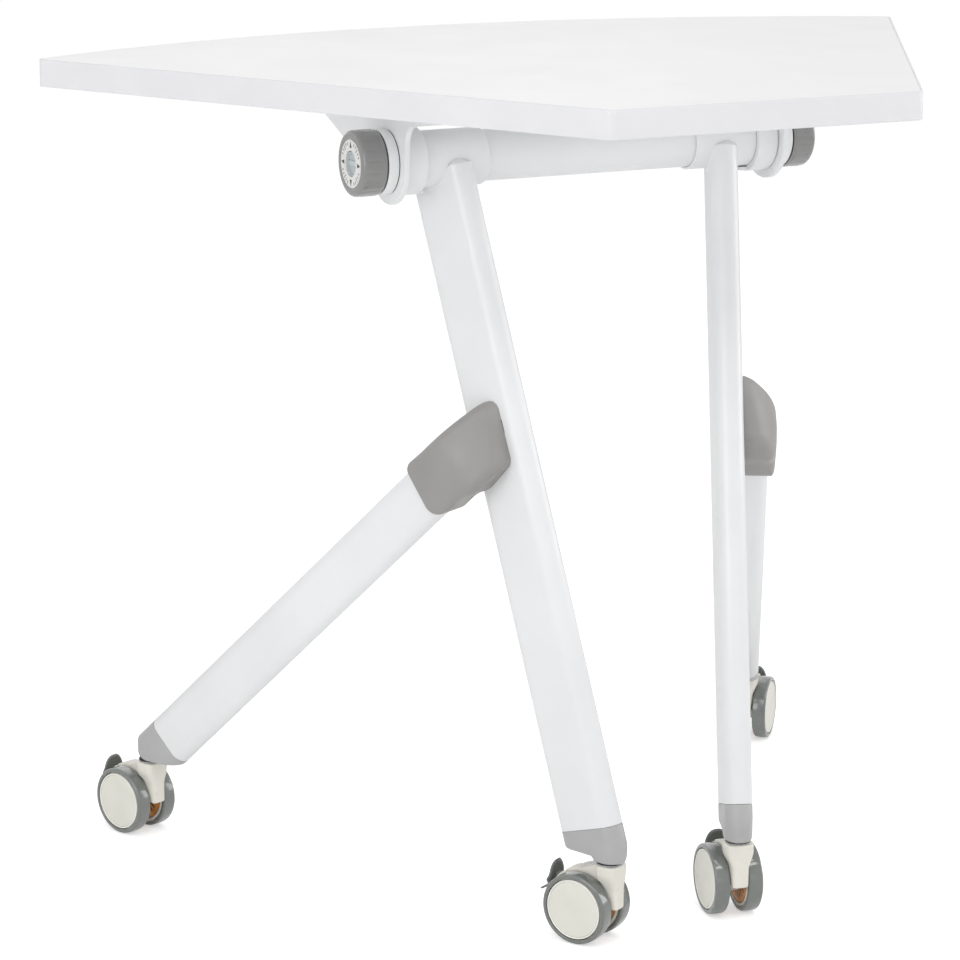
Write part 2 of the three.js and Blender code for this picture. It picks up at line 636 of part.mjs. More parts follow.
// The front cap carries the leg's section down to a boss round the stem, with a raised heel behind it
function frontCap(side, { front }) {
  const seam = frontSeam(front);
  const halfSole = LEG_WIDTH / 2 / Math.cos(front.lean);
  const heelHeight = FOOT_HEIGHT + FRONT_CAP_STEP;
  const bossBack = FRONT_BOSS_RADIUS - LEG_REACH - FRONT_STEM_AHEAD;
  const corner = (end) => {
    const middle = front.foot.clone().addScaledVector(front.up, seam);
    const at = middle.addScaledVector(front.back, end * LEG_WIDTH / 2);
    return [at.y, at.z];
  };
  const profile = roundedOutline([
    corner(-1),
    [-LEG_REACH - halfSole, FOOT_HEIGHT, FRONT_CAP_NOSE],
    [bossBack, FOOT_HEIGHT, FRONT_CAP_STEP_ROUND],
    [bossBack, heelHeight, FRONT_CAP_STEP_ROUND],
    [FRONT_CAP_STEP * Math.tan(front.lean) - LEG_REACH + halfSole, heelHeight, FRONT_CAP_HEEL],
    corner(1),
  ]);
  const outside = solid(alongFrontLeg(oval(LEG_WIDTH, LEG_THICKNESS), front, -LEG_WIDTH, seam));
  const sideView = solid(extrudeAlongX(profile, 2 * LEG_THICKNESS));
  const spigotShape = oval(LEG_WIDTH, LEG_THICKNESS, LEG_WALL + SEAT_GAP);
  const spigot = solid(alongFrontLeg(spigotShape, front, seam - 1, seam + SPIGOT_LENGTH));
  const bore = stemBore(vector(0, -LEG_REACH - FRONT_STEM_AHEAD, FOOT_HEIGHT));
  const shape = outside.intersect(sideView).add(spigot).subtract(bore);
  return piece(`foot_cap_front_${side.name}`, fromSolid(shape), FINISHES.greyPlastic);
}

// The rear cap ends in an upright back and a flat sole
function rearCap(side, { rear }) {
  const seam = rearSeam(rear);
  const run = Math.cos(rear.slope);
  const fall = Math.sin(rear.slope);
  const corner = (end) => [
    -REAR_CAP_LENGTH * run + end * fall * REAR_WIDTH / 2,
    REAR_CAP_LENGTH * fall + end * run * REAR_WIDTH / 2,
  ];
  const high = corner(1);
  const low = corner(-1);
  const profile = roundedOutline([
    high,
    [REAR_CAP_BACK, high[1] - (REAR_CAP_BACK - high[0]) * fall / run, REAR_CAP_ROUND],
    [REAR_CAP_BACK, 0, REAR_CAP_ROUND],
    [low[0] + low[1] * run / fall, 0, REAR_CAP_ROUND],
    low,
  ]);
  const thick = 2 * REAR_THICKNESS;
  const start = rear.foot.clone().addScaledVector(rear.outward, -thick / 2);
  const sideView = solid(intoFrame(extrude(profile, thick), start, rear.level, Z_AXIS, rear.outward));
  const section = oval(REAR_WIDTH, REAR_THICKNESS);
  const outside = solid(alongRearLeg(section, rear, seam, rear.length + REAR_WIDTH));
  const spigotShape = oval(REAR_WIDTH, REAR_THICKNESS, REAR_WALL + SEAT_GAP);
  const spigot = solid(alongRearLeg(spigotShape, rear, seam - SPIGOT_LENGTH, seam + 1));
  const shape = outside.intersect(sideView).add(spigot).subtract(stemBore(rear.foot));
  return piece(`foot_cap_rear_${side.name}`, fromSolid(shape), FINISHES.greyPlastic);
}

function makeLeg(side) {
  const group = new THREE.Group();
  group.position.x = side.sign * LEG_SPREAD;
  group.rotation.z = -side.sign * rad(LEG_PLAN_ANGLE);
  const frames = legFrames(side);
  group.add(
    frontLeg(side, frames), rearLeg(side, frames), jointCover(side, frames),
    frontCap(side, frames), rearCap(side, frames),
  );
  const stems = {
    front: vector(0, -LEG_REACH - FRONT_STEM_AHEAD, 0),
    rear: vector(frames.rear.foot.x, frames.rear.foot.y, 0),
  };
  for (const [end, place] of Object.entries(stems)) {
    const corner = `${end}_${side.name}`;
    const caster = makeCaster(corner);
    caster.position.copy(place);
    caster.rotation.z = rad(CASTER_TRAIL_ANGLES[corner]) - group.rotation.z;
    group.add(caster);
  }
  return group;
}

const AXLE = [TRAIL, WHEEL_RADIUS];

// The stem: a pin fixed in the foot cap, a swivel washer and a pin in the hood
function casterStem(corner) {
  const washerLow = HOOD_TOP + SEAT_GAP;
  const washerHigh = washerLow + WASHER_THICKNESS;
  const turned = revolve([
    [0, HOOD_TOP - STEM_IN_HOOD], [STEM_RADIUS, HOOD_TOP - STEM_IN_HOOD], [STEM_RADIUS, washerLow],
    [WASHER_RADIUS, washerLow], [WASHER_RADIUS, washerHigh], [STEM_RADIUS, washerHigh],
    [STEM_RADIUS, FOOT_HEIGHT + STEM_IN_CAP], [0, FOOT_HEIGHT + STEM_IN_CAP],
  ], SMALL_SEGMENTS);
  return piece(`caster_stem_${corner}`, body(turned), FINISHES.zinc);
}

const neckLow = WHEEL_RADIUS - NECK_DROP;

// The web between the wheels in side view: neck, back of the hood, tail and axle boss
function hoodWebOutline() {
  const neck = HOOD_HALF_WIDTH;
  const tailInside = polar(AXLE, AXLE_BOSS_RADIUS, HOOD_TAIL_ANGLE - 30);
  const shape = new THREE.Shape();
  shape.moveTo(-neck, neckLow + NECK_TOE);
  shape.lineTo(-neck, HOOD_TOP);
  shape.lineTo(neck, HOOD_TOP);
  shape.absarc(AXLE[0], AXLE[1], HOOD_BACK_RADIUS, Math.PI / 2, rad(HOOD_TAIL_ANGLE), true);
  shape.lineTo(tailInside[0], tailInside[1]);
  shape.absarc(AXLE[0], AXLE[1], AXLE_BOSS_RADIUS, rad(HOOD_TAIL_ANGLE - 30), -rad(130), true);
  shape.lineTo(neck, neckLow);
  shape.lineTo(NECK_TOE - neck, neckLow);
  shape.closePath();
  return shape;
}

// The neck under the stem narrows to pass between the wheels
function hoodNeck() {
  const slim = HOOD_HALF_WIDTH;
  const low = HOOD_TOP - NECK_SHOULDER_LOW;
  const high = HOOD_TOP - NECK_SHOULDER_HIGH;
  const middle = (low + high) / 2;
  const shoulder = new THREE.CubicBezierCurve(
    new THREE.Vector2(slim, low),
    new THREE.Vector2(slim, middle),
    new THREE.Vector2(NECK_RADIUS, middle),
    new THREE.Vector2(NECK_RADIUS, high),
  );
  const flare = shoulder.getPoints(3).map(({ x, y }) => [x, y]);
  return revolve([
    [0, neckLow], [slim - NECK_TOE, neckLow], [slim, neckLow + NECK_TOE], ...flare,
    [NECK_RADIUS, HOOD_TOP - NECK_EDGE], [NECK_RADIUS - NECK_EDGE, HOOD_TOP], [0, HOOD_TOP],
  ], SMALL_SEGMENTS);
}

const pedalPivot = () => polar(AXLE, WHEEL_RADIUS - PIVOT_DEPTH, PIVOT_ANGLE);

// A cross rod along Y through a point of the side view
function crossRod([x, z], radius, length, segments = SMALL_SEGMENTS) {
  return rod(radius, -length / 2, length / 2, segments).rotateX(Math.PI / 2).translate(x, 0, z);
}

function casterHood(corner) {
  const wheelRoom = crossRod(AXLE, WHEEL_RADIUS + WHEEL_CLEARANCE, 2 * NECK_RADIUS, WHEEL_SEGMENTS);
  const between = extrudeAlongY(roundedOutline([
    [-2 * WHEEL_RADIUS, -WHEEL_RADIUS], [4 * WHEEL_RADIUS, -WHEEL_RADIUS],
    [4 * WHEEL_RADIUS, 4 * WHEEL_RADIUS], [-2 * WHEEL_RADIUS, 4 * WHEEL_RADIUS],
  ]), 2 * HOOD_HALF_WIDTH);
  const slotSide = WHEEL_RADIUS;
  const [pivotX, pivotZ] = pedalPivot();
  const slot = extrudeAlongY(roundedOutline([
    [pivotX - PIVOT_EYE_RADIUS - 2, pivotZ - slotSide], [pivotX + slotSide, pivotZ - slotSide],
    [pivotX + slotSide, pivotZ + slotSide], [pivotX - PIVOT_EYE_RADIUS - 2, pivotZ + slotSide],
  ]), TONGUE_WIDTH + 2 * TONGUE_GAP);
  const stem = rod(STEM_RADIUS + SEAT_GAP, HOOD_TOP - STEM_IN_HOOD - SEAT_GAP, HOOD_TOP + 1);
  const shape = solid(hoodNeck())
    .subtract(solid(wheelRoom).subtract(solid(between)))
    .add(solid(extrudeAlongY(hoodWebOutline(), 2 * HOOD_HALF_WIDTH)))
    .subtract(solid(slot))
    .subtract(solid(stem))
    .subtract(solid(crossRod(AXLE, AXLE_RADIUS + SEAT_GAP, 2 * WHEEL_SPACING)))
    .subtract(solid(crossRod(pedalPivot(), PIVOT_RADIUS + SEAT_GAP, 2 * WHEEL_SPACING)));
  return piece(`caster_hood_${corner}`, fromSolid(shape), FINISHES.ivory);
}

const axleReach = WHEEL_SPACING / 2 + WHEEL_WIDTH - AXLE_COVER;

function casterAxle(corner) {
  const shape = crossRod(AXLE, AXLE_RADIUS, 2 * axleReach - 2 * SEAT_GAP);
  return piece(`caster_axle_${corner}`, body(shape), FINISHES.zinc);
}

// A soft ring with rounded shoulders, about Z, the outer face upwards
function treadShape() {
  const half = WHEEL_WIDTH / 2;
  const shoulder = (sign) => {
    const arc = new THREE.Path();
    const middle = WHEEL_RADIUS - TREAD_SHOULDER;
    const start = sign < 0 ? -Math.PI / 2 : 0;
    arc.absarc(middle, sign * (half - TREAD_SHOULDER), TREAD_SHOULDER, start, start + Math.PI / 2);
    return arc.getPoints(1).map(({ x, y }) => [x, y]);
  };
  return revolve([
    [TREAD_SEAT_RADIUS, -half], ...shoulder(-1), ...shoulder(1), [TREAD_SEAT_RADIUS, half],
    [TREAD_SEAT_RADIUS, -half],
  ], WHEEL_SEGMENTS);
}

// The core: a plain disc outside, a dished back with a hub for the axle
function coreShape() {
  const half = WHEEL_WIDTH / 2;
  const rim = TREAD_SEAT_RADIUS - SEAT_GAP;
  const bore = AXLE_RADIUS + SEAT_GAP;
  const boreEnd = half - AXLE_COVER;
  const dish = CORE_RECESS_DEPTH - half;
  return revolve([
    [0, boreEnd], [bore, boreEnd], [bore, -half], [CORE_HUB_RADIUS, -half], [CORE_HUB_RADIUS, dish],
    [CORE_RECESS_RADIUS, dish], [rim, -half], [rim, half], [0, half],
  ], WHEEL_SEGMENTS);
}

// One wheel: its tread and core on a common axle line, facing out on wheel.sign
function makeWheel(corner, wheel) {
  const group = new THREE.Group();
  group.position.set(TRAIL, wheel.sign * (WHEEL_SPACING + WHEEL_WIDTH) / 2, WHEEL_RADIUS);
  group.rotation.x = -wheel.sign * Math.PI / 2;
  group.add(
    piece(`wheel_tread_${corner}_${wheel.name}`, body(treadShape()), FINISHES.tread),
    piece(`wheel_core_${corner}_${wheel.name}`, body(coreShape()), FINISHES.cream),
  );
  return group;
}

// The pedal in side view: a plate round the wheel with a toe at each end
function pedalOutline() {
  const inner = WHEEL_RADIUS + PEDAL_GAP;
  const outer = inner + PEDAL_THICKNESS;
  const toe = outer + PEDAL_FLARE;
  const low = PEDAL_LOW_ANGLE;
  const high = PEDAL_TOP_ANGLE;
  const at = (radius, degrees) => polar(AXLE, radius, degrees);
  const shape = new THREE.Shape();
  shape.moveTo(...at(inner, high - 6));
  shape.absarc(AXLE[0], AXLE[1], inner, rad(high - 6), rad(low + 6), true);
  shape.lineTo(...at(toe, low));
  shape.quadraticCurveTo(...at(toe + 2, low + 3), ...at(toe, low + 6));
  shape.quadraticCurveTo(...at(outer, low + 9), ...at(outer, PIVOT_ANGLE));
  shape.quadraticCurveTo(...at(outer, high - 9), ...at(toe, high - 6));
  shape.quadraticCurveTo(...at(toe + 2, high - 3), ...at(toe, high));
  shape.closePath();
  return shape;
}

// The pedal from behind: a broad round lobe above and a narrow toe below
function pedalPlan() {
  const half = PEDAL_WIDTH / 2;
  const toe = PEDAL_TOE_WIDTH / 2;
  const reach = WHEEL_RADIUS;
  const waist = -WHEEL_RADIUS / 4;
  return roundedOutline([
    [-reach, -toe], [waist - toe, -toe], [waist, -half],
    [reach / 2, -half, PEDAL_LOBE_ROUND], [reach / 2, half, PEDAL_LOBE_ROUND],
    [waist, half], [waist - toe, toe], [-reach, toe],
  ]);
}

// The pedal rocks on its own trunnions in the slot of the hood
function casterPedal(corner) {
  const inner = WHEEL_RADIUS + PEDAL_GAP;
  const tongueOutline = roundedOutline([
    [...polar(AXLE, WHEEL_RADIUS - PIVOT_DEPTH - PIVOT_EYE_RADIUS, PIVOT_ANGLE - 8), 2],
    [...polar(AXLE, inner + 1, PIVOT_ANGLE - 8), 0],
    [...polar(AXLE, inner + 1, PIVOT_ANGLE + 8), 0],
    [...polar(AXLE, WHEEL_RADIUS - PIVOT_DEPTH - PIVOT_EYE_RADIUS, PIVOT_ANGLE + 8), 2],
  ]);
  const middle = rad((PEDAL_LOW_ANGLE + PEDAL_TOP_ANGLE) / 2);
  const along = vector(-Math.sin(middle), 0, Math.cos(middle));
  const outward = vector(Math.cos(middle), 0, Math.sin(middle));
  const axle = vector(AXLE[0], 0, AXLE[1]);
  const plan = intoFrame(extrude(pedalPlan(), 3 * WHEEL_RADIUS), axle, along, Y_AXIS, outward);
  const shape = solid(extrudeAlongY(pedalOutline(), PEDAL_WIDTH))
    .intersect(solid(plan))
    .add(solid(extrudeAlongY(tongueOutline, TONGUE_WIDTH)))
    .add(solid(crossRod(pedalPivot(), PIVOT_RADIUS, 2 * HOOD_HALF_WIDTH)));
  return piece(`brake_pedal_${corner}`, fromSolid(shape), FINISHES.darkGrey);
}

function makeCaster(corner) {
  const group = new THREE.Group();
  group.add(casterStem(corner), casterHood(corner), casterAxle(corner), casterPedal(corner));
  for (const wheel of WHEELS) group.add(makeWheel(corner, wheel));
  return group;
}

const SIDES = [{ name: 'left', sign: -1 }, { name: 'right', sign: 1 }];
const WHEELS = [{ name: 'a', sign: 1 }, { name: 'b', sign: -1 }];

const table = new THREE.Group();
table.add(makeTop(), makeBeam());
for (const side of SIDES) table.add(makeLeg(side));

export default table;
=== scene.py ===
"""Flip top training table: smooth surfaces, finishes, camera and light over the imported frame."""

import logging
import math
from dataclasses import dataclass, field
from enum import Enum
from typing import Callable, Sequence

import bmesh
import bpy
import numpy as np
from mathutils import Euler, Matrix, Vector
from mathutils.geometry import tessellate_polygon


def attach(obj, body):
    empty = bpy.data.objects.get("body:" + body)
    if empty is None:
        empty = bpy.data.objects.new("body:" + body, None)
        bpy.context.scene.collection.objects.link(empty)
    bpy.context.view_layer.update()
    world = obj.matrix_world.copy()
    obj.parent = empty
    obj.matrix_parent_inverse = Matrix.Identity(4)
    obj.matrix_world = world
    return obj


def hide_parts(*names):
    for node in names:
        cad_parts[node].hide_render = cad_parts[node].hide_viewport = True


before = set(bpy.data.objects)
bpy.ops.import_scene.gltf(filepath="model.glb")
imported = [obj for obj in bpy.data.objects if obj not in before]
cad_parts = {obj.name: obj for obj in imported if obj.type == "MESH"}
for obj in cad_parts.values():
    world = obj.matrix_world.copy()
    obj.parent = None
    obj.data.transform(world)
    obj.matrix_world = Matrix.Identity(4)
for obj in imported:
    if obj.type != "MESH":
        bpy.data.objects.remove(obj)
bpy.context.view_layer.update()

Array = np.ndarray
Material = bpy.types.Material
Owner = bpy.types.Material | bpy.types.World
Mesh = tuple[Array, list[list[int]]]
Pair = tuple[float, float]
Place = tuple[float, float, float]
Socket = bpy.types.NodeSocket
MM = 0.001
PER_METRE = 1000.0
WELD_DISTANCE = 2e-6
LEAST_ROUND = 0.02
BORE_STEPS = 64
WHITE = (1.0, 1.0, 1.0, 1.0)
LOG = logging.getLogger("table")


class Named(Enum):
    """Something whose nodes carry its name."""

    @property
    def word(self) -> str:
        """The name as the nodes spell it."""
        return self.name.lower()


class Side(Named):
    """The two ends of the beam, with the sign of their X."""

    LEFT = -1
    RIGHT = 1


class Corner(Named):
    """The four casters, with the way each one trails, in degrees from +X."""

    FRONT_LEFT = 120.0
    REAR_LEFT = 111.0
    FRONT_RIGHT = 80.0
    REAR_RIGHT = 48.0


# Surfaces


@dataclass(frozen=True)
class Axes:
    """A set of axes with its origin, in millimetres."""

    origin: Array
    x: Array
    y: Array
    z: Array

    def place(self, points: Array) -> Array:
        """Carry points from these axes to the table's own."""
        return self.origin + points @ np.stack([self.x, self.y, self.z])


def vec(x: float, y: float, z: float) -> Array:
    """A point or direction as an array."""
    return np.array([x, y, z], float)


def grid(points: Array, wrap_rows: bool = False, caps: bool = True) -> Mesh:
    """Quads over a grid whose columns close on themselves.

    Args:
        points: Rows x columns x 3.
        wrap_rows: Whether the last row joins the first, as on a ring.
        caps: Whether the first and last rows are closed by flat faces.

    Returns:
        The points, one to a row, and the faces.
    """
    rows, columns = points.shape[:2]
    index = np.arange(rows * columns).reshape(rows, columns)
    lower = index if wrap_rows else index[:-1]
    upper = np.roll(index, -1, axis=0) if wrap_rows else index[1:]
    quads = np.stack([lower, np.roll(lower, -1, 1), np.roll(upper, -1, 1), upper], -1)
    faces = quads.reshape(-1, 4).tolist()
    if caps and not wrap_rows:
        faces += [index[0][::-1].tolist(), index[-1].tolist()]
    return points.reshape(-1, 3), faces


def joined(*meshes: Mesh) -> Mesh:
    """Several surfaces as one list of points and faces.

    Args:
        meshes: The surfaces.

    Returns:
        The joined surface.
    """
    starts = np.cumsum([0] + [len(points) for points, _ in meshes])
    faces = [[i + start for i in face] for (_, own), start in zip(meshes, starts) for face in own]
    return np.concatenate([points for points, _ in meshes]), faces


RIGHT, BACK, UP = vec(1, 0, 0), vec(0, 1, 0), vec(0, 0, 1)


def unit(vectors: Array) -> Array:
    """Each row's vector at length 1."""
    return vectors / np.maximum(np.linalg.norm(vectors, axis=1, keepdims=True), 1e-9)


def once_round(steps: int) -> Array:
    """Angles once round a circle, the last one short of the first."""
    return np.linspace(0, 2 * math.pi, steps, endpoint=False)


def raised(loops: Array, height: Array) -> Array:
    """Rows of plane points with their heights, one for each row or for each point."""
    return np.concatenate([loops, np.broadcast_to(height, loops.shape[:2])[..., None]], -1)


def signed_power(value: Array, power: float) -> Array:
    """A power that keeps the value's sign, as a squarish oval needs."""
    return np.sign(value) * np.abs(value) ** power


def box(x: Sequence[float], y: Sequence[float], rounds: Sequence[float]) -> list[Place]:
    """A rectangle's corners with their rounds, anticlockwise from the lowest in both."""
    corners = ((x[0], y[0]), (x[1], y[0]), (x[1], y[1]), (x[0], y[1]))
    return [(*corner, size) for corner, size in zip(corners, rounds)]


def fillet(corners: Array, steps: int = 6, straight: int = 0) -> Array:
    """Round each corner (x, y, radius) of a closed outline by an arc tangent to both sides.

    The arc's centre lies on the corner's bisector, and its points are turned from one tangent
    point to the other by spherical interpolation.

    Args:
        corners: Corner points with their radii.
        steps: Points along each arc, less one.
        straight: Points added along each straight run between two arcs.

    Returns:
        The outline's points, the same number for every corner.
    """
    at, radius = corners[:, :2], corners[:, 2]
    before, after = np.roll(at, 1, 0) - at, np.roll(at, -1, 0) - at
    reach = np.minimum(np.linalg.norm(before, axis=1), np.linalg.norm(after, axis=1))
    before, after = unit(before), unit(after)
    half = 0.5 * np.arccos(np.clip((before * after).sum(1), -1, 1))
    radius = np.minimum(radius, 0.5 * reach * np.tan(half))
    bisector = unit(before + after)
    centre = at + bisector * (radius / np.sin(half))[:, None]
    start = at + before * (radius / np.tan(half))[:, None] - centre
    end = at + after * (radius / np.tan(half))[:, None] - centre
    sweep = np.maximum(math.pi - 2 * half, 1e-6)[:, None]
    share = np.linspace(0, 1, steps + 1)[None, :]
    first = (np.sin((1 - share) * sweep) / np.sin(sweep))[..., None] * start[:, None]
    last = (np.sin(share * sweep) / np.sin(sweep))[..., None] * end[:, None]
    arcs = centre[:, None] + first + last
    part = np.linspace(0, 1, straight + 2)[1:-1, None]
    runs = arcs[:, -1:] + part * (np.roll(arcs[:, :1], -1, 0) - arcs[:, -1:])
    return np.concatenate([arcs, runs], 1).reshape(-1, 2)


def drawn_in(corners: Array, inset: float) -> Array:
    """Move every side of an anticlockwise outline inwards, keeping its rounds concentric.

    Args:
        corners: Corner points with their radii.
        inset: How far the sides move.

    Returns:
        The moved corners with their new radii.
    """
    at = corners[:, :2]
    along = unit(np.roll(at, -1, 0) - at)
    inward = np.stack([-along[:, 1], along[:, 0]], -1)
    previous = np.roll(inward, 1, 0)
    shift = (previous + inward) / (1 + (previous * inward).sum(1, keepdims=True))
    back = np.roll(along, 1, 0)
    turn = back[:, 0] * along[:, 1] - back[:, 1] * along[:, 0]
    radius = np.maximum(corners[:, 2] - np.sign(turn) * inset, LEAST_ROUND)
    return np.column_stack([at + inset * shift, radius])


def slab(corners: Sequence[Sequence[float]], low: float, high: float, axes: Axes, rim: float = 0.6,
         steps: int = 6, hole: float = 0.0) -> Mesh:
    """An outline drawn up along the axes' Z, its rims rounded by quarter circles.

    Args:
        corners: Anticlockwise corners (x, y, radius).
        low: Height of the lower face.
        high: Height of the upper face.
        axes: Where the outline's X, Y and height lie.
        rim: Radius of the rounded rims.
        steps: Points along each corner's arc, less one.
        hole: Radius of a round hole about the axes' origin, or 0.

    Returns:
        The closed surface.
    """
    outline = np.array(corners, float)
    turn = np.linspace(0, math.pi / 2, 5)
    inset = rim * np.concatenate([1 - np.sin(turn), 1 - np.cos(turn)])
    height = np.concatenate([low + rim * (1 - np.cos(turn)), high - rim * (1 - np.sin(turn))])
    loops = raised(np.stack([fillet(drawn_in(outline, i), steps) for i in inset]), height[:, None])
    points, faces = grid(axes.place(loops), caps=not hole)
    if not hole:
        return points, faces
    angle = once_round(BORE_STEPS)
    circle = hole * np.column_stack([np.cos(angle), np.sin(angle)])
    bore = grid(axes.place(raised(np.stack([circle, circle]), np.array([[low], [high]]))), caps=False)
    flat = [[Vector((*p[:2], 0)) for p in loops[0]], [Vector((*p, 0)) for p in circle]]
    size, start = len(loops[0]), len(points)
    ends = []
    for row, ring in ((0, 0), (len(loops) - 1, BORE_STEPS)):
        ends += [[row * size + i if i < size else start + ring + i - size for i in tri]
                 for tri in tessellate_polygon(flat)]
    points, faces = joined((points, faces), bore)
    return points, faces + ends


def revolve(profile: Array, axes: Axes, segments: int = 96, ring: bool = False,
            cut: Array | float = 0.0) -> Mesh:
    """Turn a profile of (radius, height) about the axes' Z.

    Args:
        profile: Points from one end to the other, or once round a ring's section.
        axes: Where the axis lies.
        segments: Steps round the axis.
        ring: Whether the profile closes on itself.
        cut: How far the radius falls short, for each point of the profile and step round the axis.

    Returns:
        The closed surface.
    """
    angle = once_round(segments)
    radius, height = profile[:, :1] - cut, profile[:, 1:]
    points = np.stack([radius * np.cos(angle), radius * np.sin(angle), height + 0 * angle], -1)
    return grid(axes.place(points), wrap_rows=ring)


def turned(corners: Sequence[Sequence[float]], axes: Axes, segments: int = 96, steps: int = 5) -> Mesh:
    """A ring turned from a section whose corners (radius, height, round) are rounded."""
    return revolve(fillet(np.array(corners, float), steps), axes, segments, ring=True)


def hoop(radii: Pair, span: Pair, rounds: Sequence[float], axes: Axes, segments: int = 96) -> Mesh:
    """A ring of rectangular section between two radii, over a span of the axes' Z, with rounded corners."""
    return turned(box(radii, span, rounds), axes, segments)


def oval(width: float, thickness: float, inset: Array | float = 0.0, steps: int = 20, flat: int = 3) -> Array:
    """A flat oval's points: two half circles and two straight sides.

    Args:
        width: Overall width, along the first coordinate.
        thickness: Overall thickness.
        inset: How far the outline is drawn in; one value, or one for each row.
        steps: Steps along each half circle.
        flat: Points along each straight side.

    Returns:
        Points, or rows of points, x 2.
    """
    reach = (width - thickness) / 2
    turn = np.linspace(-math.pi / 2, math.pi / 2, steps + 1)
    share = np.linspace(0.03, 0.97, flat)
    centre = np.concatenate([np.full(steps + 1, reach), reach * (1 - 2 * share),
                             np.full(steps + 1, -reach), reach * (2 * share - 1)])
    angle = np.concatenate([turn, np.full(flat, math.pi / 2), turn + math.pi, np.full(flat, 1.5 * math.pi)])
    radius = thickness / 2 - np.asarray(inset, float)[..., None]
    return np.stack([centre + radius * np.cos(angle), radius * np.sin(angle)], -1)


def smooth_step(value: Array, low: float, high: float) -> Array:
    """An S-curve from 0 at low to 1 at high."""
    share = np.clip((value - low) / (high - low), 0, 1)
    return share * share * (3 - 2 * share)


def soft_lower(first: Array, second: Array, blend: float) -> Array:
    """The lower of two heights, with the crease between them rounded by a parabola.

    Args:
        first: Heights of one surface.
        second: Heights of the other.
        blend: How far apart the two are where the rounding begins.

    Returns:
        The joined heights.
    """
    share = np.clip(0.5 + 0.5 * (second - first) / blend, 0, 1)
    return second + (first - second) * share - blend * share * (1 - share)


# Finishes


def linked(name: str, data: bpy.types.ID) -> bpy.types.Object:
    """Put data into the scene as a new object.

    Args:
        name: The object's name.
        data: A mesh, a lamp or a camera.

    Returns:
        The object.
    """
    thing = bpy.data.objects.new(name, data)
    bpy.context.scene.collection.objects.link(thing)
    return thing


def emptied(owner: Owner) -> Owner:
    """Clear a new material or world for its own nodes.

    Args:
        owner: The material or world.

    Returns:
        The same, without nodes.
    """
    owner.use_nodes = True
    owner.node_tree.nodes.clear()
    return owner


def linear(colour: str) -> tuple[float, float, float, float]:
    """An sRGB hex colour as linear values.

    Args:
        colour: Six hex digits.

    Returns:
        Red, green, blue and alpha.
    """
    srgb = np.array([int(colour[i:i + 2], 16) for i in (0, 2, 4)]) / 255
    value = np.where(srgb <= 0.04045, srgb / 12.92, ((srgb + 0.055) / 1.055) ** 2.4)
    return (*value.tolist(), 1.0)


def add_node(owner: Owner, kind: str, settings: dict | None = None,
             links: dict | None = None) -> bpy.types.Node:
    """Add a node with its settings and links.

    Args:
        owner: The material or world that gets the node.
        kind: The node's type name.
        settings: Attributes by name, and socket values by the socket's name or number.
        links: Output sockets by the name or number of the input that they feed.

    Returns:
        The node.
    """
    tree = owner.node_tree
    node = tree.nodes.new(kind)
    for key, value in (settings or {}).items():
        if isinstance(key, str) and hasattr(node, key):
            setattr(node, key, value)
        else:
            node.inputs[key].default_value = value
    for key, source in (links or {}).items():
        tree.links.new(source, node.inputs[key])
    return node


